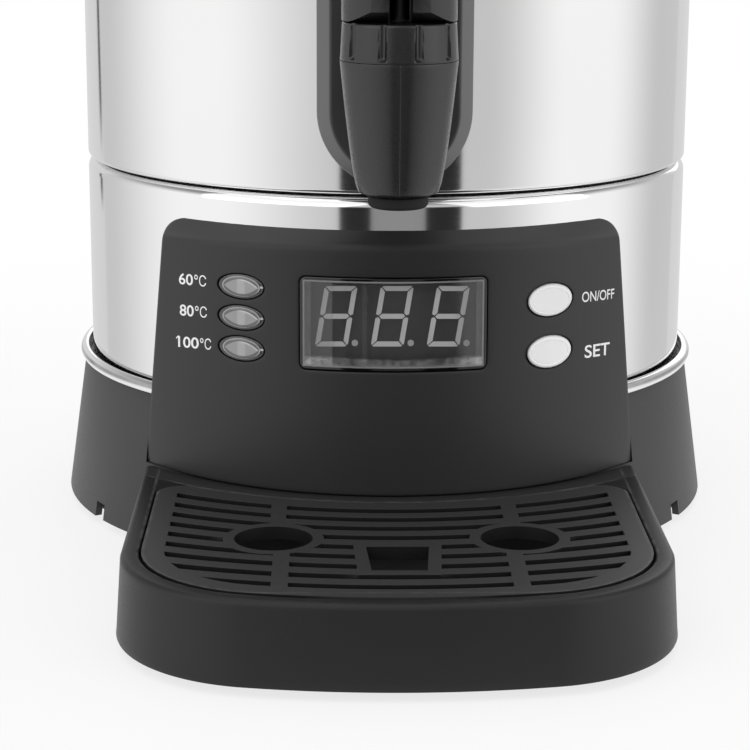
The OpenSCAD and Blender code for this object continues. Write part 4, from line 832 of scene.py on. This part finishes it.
def tap():
    """The tap's sleeve, with the faint ridge its mould left in front, its shank and its flange."""
    foot_r, flare, foot_z, rise = 12.4, 5.4, 137.6, 38.7
    bore_r, seam_h, seam_half = 11.1, 0.05, math.radians(0.35)
    t = np.linspace(0, 1, 28)
    side = np.stack([foot_r + flare * t ** 0.7, foot_z + rise * t], -1)
    section = np.concatenate([
        [[7.6, 136.3], [11.2, 136.3], [11.75, 136.55], [12.15, 136.95]], side,
        [[17.75, 176.5], [13.4, 176.5], [13.4, 183.9], [11, 183.9], [11, 152], [5, 152], [5, 146.3],
         [7.6, 146.3]]])
    ridge = np.linspace(-1, 1, 25) ** 3 * math.radians(4.0)
    angles = FRONT + np.concatenate([ridge, np.linspace(0, 2 * np.pi, 200)[4:-4]])
    points, faces = lathe(section, angles, 0.0, TAP_Y)
    away = np.angle(np.exp(1j * (np.arctan2(points[:, 1] - TAP_Y, points[:, 0]) - FRONT)))
    outer = np.hypot(points[:, 0], points[:, 1] - TAP_Y) > bore_r
    swell = seam_h * np.exp(-(away / seam_half) ** 2) * outer * (points[:, 2] < 176.4)
    points[:, 1] -= swell
    shank = rounded([[0, -156], [9, -156], [9, -79], [0, -79]], [0, 0, 1, 0])
    flange = rounded([[9, COVER_Y], [14, COVER_Y], [14, COVER_Y - 4], [9, COVER_Y - 4]], [0, 0, 1.2, 0])
    parts = [(points, faces), y_lathe(shank, 96, 0.0, TAP_Z), y_lathe(flange, 128, 0.0, TAP_Z)]
    make_piece("tap_sleeve", *joined(parts), "tap_plastic", ["tap_body"])
    tip = rounded(
        [[5, 132.0], [9.2, 132.0], [9.2, 135.7], [7.5, 136.1], [7.5, 146.2], [5, 146.2]],
        [0.6, 1.7, 0.5, 0, 0, 0])
    make_piece("soft_spout", *lathe(tip, 128, 0.0, TAP_Y), "black_rubber", ["spout_tip"])


def ribbed_bonnet():
    """The nut above the sleeve: a section turned about the tap, with grooves that stop above its foot."""
    wall = np.stack([np.linspace(17.78, 17.19, 26), np.linspace(176.85, 187.4, 26)], -1)
    section = np.concatenate([
        [[13.6, 176.55], [17.5, 176.55], [17.7, 176.65]], wall,
        [[17.05, 187.75], [16.75, 188.0], [3.06, 188.0], [3.06, 184.3], [13.6, 184.3]]])
    nut_r, ribs, groove_r, groove_foot, groove_run = 17.8, 10, 1.3, 177.5, 0.9
    points, faces = lathe(section, 480, 0.0, TAP_Y)
    angle = np.arctan2(points[:, 1] - TAP_Y, points[:, 0]) - FRONT
    radius = np.hypot(points[:, 0], points[:, 1] - TAP_Y)
    pitch = 2 * np.pi / ribs
    across = nut_r * ((angle % pitch) - pitch / 2)
    groove = np.sqrt(np.maximum(groove_r ** 2 - across ** 2, 0))
    rise = np.clip((points[:, 2] - groove_foot) / groove_run, 0, 1)
    depth = np.maximum(radius - (nut_r - groove), 0) * np.sqrt(rise * (2 - rise)) * (radius > 16)
    share = 1 - depth / np.maximum(radius, 1)
    points[:, 0] *= share
    points[:, 1] = TAP_Y + (points[:, 1] - TAP_Y) * share
    make_piece("ribbed_bonnet", points, faces, "tap_plastic", ["bonnet_nut"], crease=42.0)


def coil_spring():
    """The tap's spring: a round wire along a helix with flat end turns."""
    low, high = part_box("tap_spring")
    foot, head = low.z / MM, high.z / MM
    wire = 0.6
    reach = (high.x - low.x) / MM / 2 - wire
    turns = 6.0
    t = np.linspace(0, 1, 300)
    rise = np.clip((t * turns - 0.9) / (turns - 1.8), 0, 1)
    z = foot + wire + (head - foot - 2 * wire) * rise
    turn = 2 * np.pi * turns * t[:, None]
    around = np.linspace(0, 2 * np.pi, 14, endpoint=False)
    radius = reach + wire * np.cos(around)
    points = np.stack([radius * np.cos(turn), TAP_Y + radius * np.sin(turn),
                       z[:, None] + wire * np.sin(around)], -1).reshape(-1, 3)
    faces = quads(len(t), len(around)) + end_caps(len(t), len(around))
    piece = make_piece("coil_spring", points, faces, "zinc_steel", ["tap_spring"])
    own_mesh(piece)


def stadium(half, low, high, bends=40, sides=30):
    """A loop of two half circles of radius half, joined by straight sides, in X and Z."""
    turn = np.linspace(0, np.pi, bends, endpoint=False)
    rise = np.linspace(low + half, high - half, sides, endpoint=False)
    fall = np.linspace(high - half, low + half, sides, endpoint=False)
    x = np.concatenate([half + 0 * rise, half * np.cos(turn), -half + 0 * fall, -half * np.cos(turn)])
    z = np.concatenate([rise, high - half + half * np.sin(turn), fall, low + half - half * np.sin(turn)])
    return np.stack([x, z], -1)


def gauge_cover():
    """The housing behind the tap: round-ended loops from the steel over a chamfer to the strip's recess."""
    edge = rounded([[0, -108], [0, -115], [4.5, COVER_Y], [12, COVER_Y]], [0, 1.2, 1.4, 0], 6, closed=False)
    loops = [(stadium(COVER_HALF - i, COVER_LOW_Z + i, COVER_HIGH_Z - i), y) for i, y in edge[1:-1]]
    seat = stadium(COVER_HALF, COVER_LOW_Z, COVER_HIGH_Z)
    steel = -np.sqrt((BODY_R + 0.2) ** 2 - seat[:, 0] ** 2)
    outer, inner = loops[-1][0], stadium(6.3, 202.7, 379.3)
    face = [(outer + (inner - outer) * s, COVER_Y) for s in np.linspace(0, 1, 8)[1:]]
    strip, slot, well = stadium(6.0, 203, 379), stadium(4.0, 205, 377), stadium(5.5, 203.5, 378.5)
    recess = [
        (strip, -119.2), (strip, -118.4), (slot, -118.4), (slot, -117.3), (well, -117.3), (well, -110.6)]
    rows = [np.stack([seat[:, 0], steel, seat[:, 1]], -1)]
    rows += [np.stack([loop[:, 0], y + 0 * loop[:, 0], loop[:, 1]], -1) for loop, y in loops + face + recess]
    faces = quads(len(rows), len(seat)) + end_caps(len(rows), len(seat))
    make_piece("gauge_cover", np.concatenate(rows), faces, "black_plastic", ["gauge_housing"], finish=COVER)


# Control panel

def panel_front(x, z):
    """The panel's front: a leaning cylinder, met in a soft fold by straight lines back to the steel."""
    round_y = PANEL_Y - np.sqrt(PANEL_R ** 2 - x ** 2) / math.cos(PANEL_TILT)
    lean = round_y + (z - PANEL_Z) * math.tan(PANEL_TILT)
    fold_z = FOLD_Z - FOLD_SAG * (x / FOLD_HALF) ** 2
    fold_y = round_y + (fold_z - PANEL_Z) * math.tan(PANEL_TILT)
    steel_y = -np.sqrt(BODY_R ** 2 - x ** 2)
    strip = fold_y + (steel_y - fold_y) * (z - fold_z) / (PANEL_TOP_Z - fold_z)
    return 0.5 * (lean + strip + np.sqrt((lean - strip) ** 2 + PANEL_FOLD ** 2))


def on_panel(loop, depth):
    """Points of X and Z placed on the panel's front, or that deep behind it."""
    x, z = loop[:, 0], loop[:, 1]
    return np.stack([x, panel_front(x, z) + depth, z], -1)


def to_steel(loop):
    """How deep the panel's edge goes to meet the steel."""
    seat = -np.sqrt((BODY_R + 0.35) ** 2 - loop[:, 0] ** 2)
    return np.maximum(seat - panel_front(loop[:, 0], loop[:, 1]), 0.0)


def panel_moulding():
    """The panel: its front filled between rounded edges, walls back to the steel, and an inner skin."""
    foot, top = PANEL_Z - 0.35, PANEL_TOP_Z
    foot_half, top_half = 84.8, 76.9
    side_step = 1.6
    outline = rounded(
        [[-foot_half, foot], [foot_half, foot], [top_half, top], [-top_half, top]], [0.6, 0.6, 9, 9], 12)
    outline = turned_left(refined(outline, side_step), True)
    holes = [box_loop(WINDOW_W + WINDOW_FIT, WINDOW_H + WINDOW_FIT, (0, WINDOW_Z), 2.5)]
    holes += [ellipse(LENS_W + LENS_FIT, LENS_H + LENS_FIT, (LENS_X, z)) for z in LENS_Z]
    holes += [ellipse(BUTTON_W + BUTTON_FIT, BUTTON_H + BUTTON_FIT, (BUTTON_X, z)) for z in (ON_OFF_Z, SET_Z)]
    holes = [turned_left(refined(hole, side_step), False) for hole in holes]
    soft, lip, skin = 0.7, 0.5, 0.5
    coarse = np.meshgrid(np.arange(-84, 84.1, 2.4), np.arange(31, 105, 2.4))
    fine = np.meshgrid(np.arange(-84, 84.1, 1.6), np.arange(105, 116, 0.7))
    grid = np.concatenate([np.stack(part, -1).reshape(-1, 2) for part in (coarse, fine)])
    clear = inside(grid, moved(outline, soft + 0.7))
    for hole in holes:
        clear &= ~inside(grid, moved(hole, lip + 0.8))
    front, front_faces = filled(moved(outline, soft), [moved(hole, lip) for hole in holes], grid[clear])
    back, back_faces = filled(moved(outline, PANEL_WALL), holes, grid[clear][::7])
    deep = to_steel(outline)
    rows = [(inset, np.minimum(depth, deep)) for inset, depth in edge_arc(soft)]
    inner = np.maximum(to_steel(moved(outline, PANEL_WALL)), skin + 0.1)
    rows += [(0, deep), (PANEL_WALL, inner), (PANEL_WALL, skin)]
    parts = [(on_panel(front, 0.0), front_faces), (on_panel(back, skin), back_faces)]
    parts.append(rim_rows(outline, rows, on_panel))
    parts += [rim_rows(hole, edge_arc(lip) + [(0, skin)], on_panel) for hole in holes]
    make_piece(
        "panel_moulding", *joined(parts), "black_plastic", ["control_panel"], finish=PANEL, crease=50.0)


def along_panel(along, z, depth):
    """Points at lengths along the panel's curve and heights, that deep behind its front."""
    return on_panel(np.stack([PANEL_R * np.sin(along / PANEL_R), z], -1), depth)


def on_cover(x, z, depth):
    """Points on the flat front of the gauge cover, or that deep behind it."""
    return np.stack([x, COVER_Y + depth, z], -1)


def label(name, words, left, right, middle, height, weight=0.012, tilt=0.0, surface=along_panel):
    """Printed words: letters fitted between two lengths along a surface, a hair above it, and tilted."""
    curve = bpy.data.curves.new(name, "FONT")
    curve.body = words
    curve.offset = weight
    curve.extrude = 0.5
    drawn = bpy.data.objects.new(name, curve)
    scene.collection.objects.link(drawn)
    mesh = bpy.data.meshes.new_from_object(drawn.evaluated_get(bpy.context.evaluated_depsgraph_get()))
    bpy.data.objects.remove(drawn)
    points = np.empty(len(mesh.vertices) * 3)
    mesh.vertices.foreach_get("co", points)
    points = points.reshape(-1, 3)
    low, high = points.min(0), points.max(0)
    share = (points - low) / (high - low)
    along = left + (right - left) * share[:, 0]
    rise = middle + height * (share[:, 1] - 0.5) + tilt * (along - (left + right) / 2)
    faces = [list(face.vertices) for face in mesh.polygons]
    depth = PRINT_T - 2 * PRINT_T * share[:, 2]
    make_piece(name, surface(along, rise, depth), faces, "silver_button", finish=PRINT)


def slab(x, z):
    """A thin printed bar between two places along a surface and two heights: its x, z and depth."""
    corners = np.stack(np.meshgrid(x, z, (-PRINT_T, PRINT_T), indexing="ij"), -1).reshape(-1, 3)
    return corners, [[0, 1, 3, 2], [4, 6, 7, 5], [0, 4, 5, 1], [2, 3, 7, 6], [0, 2, 6, 4], [1, 5, 7, 3]]


def one_flag():
    """The short slanting stroke at the head of the 1 in 100."""
    half, slope, foot_x, foot_z = 0.26, 0.7, -79.6, 76.55
    points, faces = slab((-80.6, -79.3), (-half, half))
    along, across, depth = points.T
    rise = across + foot_z + slope * (along - foot_x)
    make_piece("print_100_flag", along_panel(along, rise, depth), faces, "silver_button", finish=PRINT)


def gauge_scale():
    """The litre scale beside the clear strip: a long bar and a number at each litre, a short bar between."""
    start, long_end, short_end, half = 7.6, 11.6, 9.8, 0.22
    bars = []
    for half_litre in range(5, 16):
        z = LITRE_Z + LITRE_H * half_litre / 2
        reach = long_end if half_litre % 2 == 0 else short_end
        bars.append(slab((start, reach), (z - half, z + half)))
        if half_litre % 2 == 0:
            digit = str(half_litre // 2)
            label("scale_" + digit, digit, 12.8, 15.6, z, 4.2, 0.01, 0.0, on_cover)
    points, faces = joined(bars)
    make_piece("scale_bars", on_cover(*points.T), faces, "silver_button", finish=PRINT)


def panel_fittings():
    """The window, the three lenses and the two buttons: closed caps in the panel's openings."""
    window = turned_left(refined(box_loop(WINDOW_W, WINDOW_H, (0, WINDOW_Z), 2.3), 1.5), True)
    rows = [(r, 0.4 + d) for r, d in edge_arc(0.4)] + [(0, 2.2)]
    make_piece("smoked_window", *plug(window, on_panel, rows, 24), "smoked_window", ["display_window"])
    lenses = []
    for z in LENS_Z:
        oval = turned_left(ellipse(LENS_W, LENS_H, (LENS_X, z)), True)
        rows = [(1.5, 0.1), (1.1, 0.14), (0.8, 0.4), (0.4, 0.42), (0.12, 0.5), (0, 0.75), (0, 3.0)]
        lenses.append(plug(oval, on_panel, rows, 12))
    make_piece("indicator_caps", *joined(lenses), "clear_lens", ["indicator_lenses"], finish=LENS)
    for name, node, z in (("on_off_cap", "on_off_button", ON_OFF_Z), ("set_cap", "set_button", SET_Z)):
        oval = turned_left(ellipse(BUTTON_W, BUTTON_H, (BUTTON_X, z), 96), True)
        rows = [(1.5, -1.3), (1.42, -1.18), (1.25, -1.18), (1.15, -1.36), (0.95, -1.42), (0.6, -1.34),
                (0.25, -1.02), (0.05, -0.6), (0, -0.3), (0, 3.2)]
        make_piece(name, *plug(oval, on_panel, rows, 12), "silver_button", [node], node, BUTTON)


def display_digits():
    """Three unlit digits: mitred bars and a dot each, leaning over, as thin prisms on the module's face."""
    low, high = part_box("display_segments")
    front, back = low.y / MM, high.y / MM
    half_w, half_h, bar, gap = 5.4, 10.15, 1.65, 0.32
    in_w, in_h, mid = half_w - bar, half_h - bar, bar / 2
    top = [[-half_w + 0.5 + gap, half_h], [half_w - 0.5 - gap, half_h], [half_w - 0.2 - gap, half_h - 0.3],
           [in_w - gap, in_h], [-in_w + gap, in_h], [-half_w + 0.2 + gap, half_h - 0.3]]
    side = [[half_w, half_h - 0.6 - gap], [half_w - 0.3, half_h - 0.2 - gap], [in_w, in_h - gap],
            [in_w, mid + gap], [in_w + mid, gap], [half_w, mid / 2 + gap]]
    middle = [[-in_w - mid + gap, 0], [-in_w + gap, mid], [in_w - gap, mid], [in_w + mid - gap, 0],
              [in_w - gap, -mid], [-in_w + gap, -mid]]
    loops = [top, np.array(top) * [1, -1], middle]
    loops += [np.array(side) * [turn_x, turn_z] for turn_x in (-1, 1) for turn_z in (-1, 1)]
    dots = [ellipse(2.1, 2.1, (half_w + 0.75, -half_h + 1.15), 32)]

    def prisms(outlines, lean):
        """The outlines leaning over, at each digit's place, from the module's face to the segments' front."""
        made = []
        for step in (-1, 0, 1):
            for loop in outlines:
                x, z = np.array(loop).T
                x = x + z * lean + (DIGIT_X + DIGIT_PITCH * step)
                rows = [np.stack([x, y + 0 * x, z + DIGIT_Z], -1) for y in (front, back)]
                made.append((np.concatenate(rows), quads(2, len(x)) + end_caps(2, len(x))))
        return joined(made)

    make_piece("display_digits", *prisms(loops, DIGIT_LEAN), "segment_grey", ["display_segments"])
    make_piece("display_dots", *prisms(dots, 0.0), "segment_grey", finish=DOTS)


# Drip tray

def tray_loop(inset, rear_r, rear_corner):
    """The tray's edge from above, moved in: straight sides, round corners, bowed front and hollow rear."""
    half, corner, bow = TRAY_HALF - inset, TRAY_CORNER_R - inset, TRAY_BOW_R - inset
    turn = math.atan2(TRAY_CORNER[0], TRAY_BOW_Y - TRAY_CORNER[1])
    nape_x = half - rear_corner
    nape_y = -math.sqrt((rear_r + rear_corner) ** 2 - nape_x ** 2)
    nape = np.linspace(math.atan2(-nape_y, -nape_x), 0, 16, endpoint=False)
    side = np.linspace(nape_y, TRAY_CORNER[1], 24, endpoint=False)
    bend = np.linspace(0, turn - np.pi / 2, 40, endpoint=False)
    front = np.linspace(turn, 0, 20, endpoint=False)
    x = np.concatenate([nape_x + rear_corner * np.cos(nape), half + 0 * side,
                        TRAY_CORNER[0] + corner * np.cos(bend), bow * np.sin(front)])
    y = np.concatenate([nape_y + rear_corner * np.sin(nape), side,
                        TRAY_CORNER[1] + corner * np.sin(bend), TRAY_BOW_Y - bow * np.cos(front)])
    right = np.stack([x, y], -1)
    middle = np.array([[0.0, TRAY_BOW_Y - bow]])
    left = right[::-1] * [-1, 1]
    reach = math.asin(right[0, 0] / rear_r)
    arc = np.linspace(-reach, reach, 72)[1:-1]
    rear = np.stack([rear_r * np.sin(arc), -rear_r * np.cos(arc)], -1)
    return np.concatenate([right, middle, left, rear])


def skirt_gap_r(z):
    """The radius of the tray's hollow rear, just clear of the flared skirt."""
    gap = 0.6
    return SKIRT_FOOT_R - SKIRT_DRAW * (z - SKIRT_FOOT_Z) / SKIRT_H + gap


def tray_moulding():
    """The tray: loops from its underside up the leaning wall, over the rim, to the ledge and the basin."""
    lean = 1.8 / 26
    rows = [(0.7, 3.0, skirt_gap_r(3) + 0.7), (0.2, 3.2, skirt_gap_r(3) + 0.2), (0.0, 3.7, skirt_gap_r(3.7))]
    rows += [(lean * (z - 3), z, skirt_gap_r(z)) for z in np.linspace(6, 26.4, 8)]
    soft = 1.8
    for angle in np.linspace(0, np.pi / 2, 8)[1:]:
        turn_in = 1 - math.cos(angle)
        z = TRAY_TOP_Z - soft + soft * math.sin(angle)
        rows.append((1.67 + soft * turn_in, z, skirt_gap_r(28) + 0.5 * turn_in))
    loops = [tray_loop(inset, rear, 0.4) for inset, z, rear in rows]
    recess = [(-0.9, 29.0), (-0.4, 28.9), (-0.1, 28.6), (0.0, 28.2), (0.0, 24.7), (3.2, 24.7), (3.3, 8.0),
              (3.9, 6.4), (4.9, 6.0)]
    ledge, ledge_rear_r, ledge_corner = 7.5, 127.0, 9.0
    loops += [tray_loop(ledge + extra, ledge_rear_r + extra, ledge_corner - extra) for extra, z in recess]
    heights = [row[1] for row in rows + recess]
    loops = [np.insert(loop, 2, z, axis=1) for loop, z in zip(loops, heights)]
    faces = quads(len(loops), len(loops[0])) + end_caps(len(loops), len(loops[0]))
    points = np.concatenate(loops)
    make_piece("tray_moulding", points, faces, "black_plastic", ["drip_tray"], "drip_tray", TRAY)


upper_steel()
lower_steel()
rolled_trim()
rim_and_lid()
tap()
ribbed_bonnet()
coil_spring()
gauge_cover()
panel_moulding()
panel_fittings()
display_digits()
gauge_scale()
for words, left, split, right, z, tilt in (
        ("60", -78.8, -72.2, -66.4, 96.6, 0.05), ("80", -78.6, -72.0, -66.2, 86.0, 0.065),
        ("100", -79.6, -69.9, -64.5, 75.2, 0.077)):
    label("print_" + words, words, left, split, z, PRINT_H, 0.014, tilt)
    rise = tilt * (right - left) / 2
    label("print_degrees_" + words, "\u2103", split + 0.6, right, z + rise, PRINT_H, 0.0, tilt)
one_flag()
label("print_on_off", "ON/OFF", 68.4, 84.7, 91.0, 3.5, 0.008, -0.055)
label("print_set", "SET", 70.2, 82.8, 72.3, 4.4, 0.014, -0.05)
tray_moulding()
eased_copy("grate_moulding", "drip_grate", 0.2, "grate_plastic", "drip_grate")
eased_copy("lever_moulding", "tap_lever", 0.8, "tap_plastic", "tap_lever", 3)
eased_copy("left_grip", "left_handle", 1.8, "handle_plastic", segments=4)
eased_copy("right_grip", "right_handle", 1.8, "handle_plastic", segments=4)


# Studio

def studio_world():
    """Plain ambient light; white behind the object, and soft upright bands of grey in its gloss.

    The bands lie at turns in degrees from the front towards +X, and at heights from -1 to 1.
    """
    world = bpy.data.worlds.new("studio")
    scene.world = world
    world.use_nodes = True
    tree = world.node_tree
    east = Wire(tree).node("ShaderNodeTexCoord", out="Generated")
    east = east.node("ShaderNodeSeparateXYZ", {"Vector": east}, out="X")
    turn = east.math("ARCTAN2", 0.0 - east.other("Y")) * (180.0 / math.pi)
    left = turn.between(-134.0, -82.0) * turn.between(-12.0, -68.0)
    right = turn.between(34.0, 70.0) * turn.between(124.0, 88.0)
    rear = turn.between(-137.4, -139.2).math("MAXIMUM", turn.between(140.4, 142.2))
    up = east.other("Z")
    stand = abs(turn + 140.7).between(1.9, 0.6) * up.between(-0.165, -0.128) * up.between(0.1, 0.02)
    level = 0.66 + 0.44 * (left + right) + 0.08 * rear - 0.7 * stand
    bands = level.node("ShaderNodeCombineColor", {"Red": level, "Green": level, "Blue": level})
    low = up.between(0.25, 0.05)
    bands = blend(bands, even(0.025), low * abs(turn - 4.1).between(23.0, 22.0))
    bands = blend(bands, even(0.3), low * abs(turn - 3.2).between(10.4, 9.6))
    bands = blend(bands, even(0.3), up.between(0.25, 0.7))
    camera = east.node("ShaderNodeLightPath", out="Is Camera Ray")
    gloss = camera.other("Is Glossy Ray").math("MAXIMUM", camera.other("Is Transmission Ray"))
    light = blend(even(0.5), bands, gloss)
    light = blend(light, even(1.0), camera)
    tree.links.new(light.output, tree.nodes["Background"].inputs["Color"])


def studio_floor():
    """A pale floor that keeps the shadow: part lit, part white, and open to the gloss beyond the object."""
    size = 8.0
    mesh = bpy.data.meshes.new("studio_floor")
    corners = [(-size, -size, 0), (size, -size, 0), (size, size, 0), (-size, size, 0)]
    mesh.from_pydata(corners, [], [(0, 1, 2, 3)])
    floor = bpy.data.objects.new("studio_floor", mesh)
    scene.collection.objects.link(floor)
    material, shader, place = start_finish("studio_floor", {"Roughness": 0.9, "Base Color": even(0.9)})
    tree = material.node_tree
    reach = place.node("ShaderNodeVectorMath", {0: place}, out="Value", operation="LENGTH")
    far = reach.between(0.2, 0.32)
    camera = place.node("ShaderNodeLightPath", out="Is Camera Ray")
    white = place.node("ShaderNodeEmission", {"Color": even(1.0)})
    lit = Wire(tree, shader.outputs[0])
    pale = place.node("ShaderNodeMixShader", {0: 0.76 + 0.24 * reach.between(0.2, 0.6), 1: lit, 2: white})
    glossy = camera.other("Is Glossy Ray")
    seen = camera.math("MAXIMUM", glossy).math("MAXIMUM", camera.other("Is Transmission Ray"))
    surface = place.node("ShaderNodeMixShader", {0: seen, 1: lit, 2: pale})
    clear = place.node("ShaderNodeBsdfTransparent")
    open_to = far * glossy
    surface = place.node("ShaderNodeMixShader", {0: open_to, 1: surface, 2: clear})
    tree.links.new(surface.output, tree.nodes["Material Output"].inputs["Surface"])
    mesh.materials.append(material)


def lamp(name, place, size, power):
    """A soft square lamp aimed at the lower middle of the object."""
    aim = Vector((0.0, -0.05, 0.14))
    light = bpy.data.lights.new(name, "AREA")
    light.size = size
    light.energy = power
    made = bpy.data.objects.new(name, light)
    made.location = place
    made.rotation_euler = (aim - Vector(place)).to_track_quat("-Z", "Y").to_euler()
    scene.collection.objects.link(made)


studio_world()
studio_floor()
lamp("key_lamp", (-1.1, -1.2, 1.3), 2.3, 14.0)
lamp("fill_lamp", (1.3, -1.0, 0.9), 1.7, 7.0)
lamp("top_lamp", (0.0, 0.1, 1.7), 2.0, 10.0)
lamp("back_lamp", (0.3, 1.5, 1.1), 1.7, 7.5)

view = bpy.data.cameras.new("photo_camera")
view.sensor_width = SENSOR
view.lens = SENSOR * FOCAL_PX / PHOTO_PX
camera = bpy.data.objects.new("photo_camera", view)
camera.location = CAMERA_PLACE
camera.rotation_euler = (math.radians(90.0 - LOOK_DOWN), 0.0, math.radians(-LOOK_RIGHT))
camera.rotation_euler.rotate_axis("Z", math.radians(ROLL))
scene.collection.objects.link(camera)
scene.camera = camera
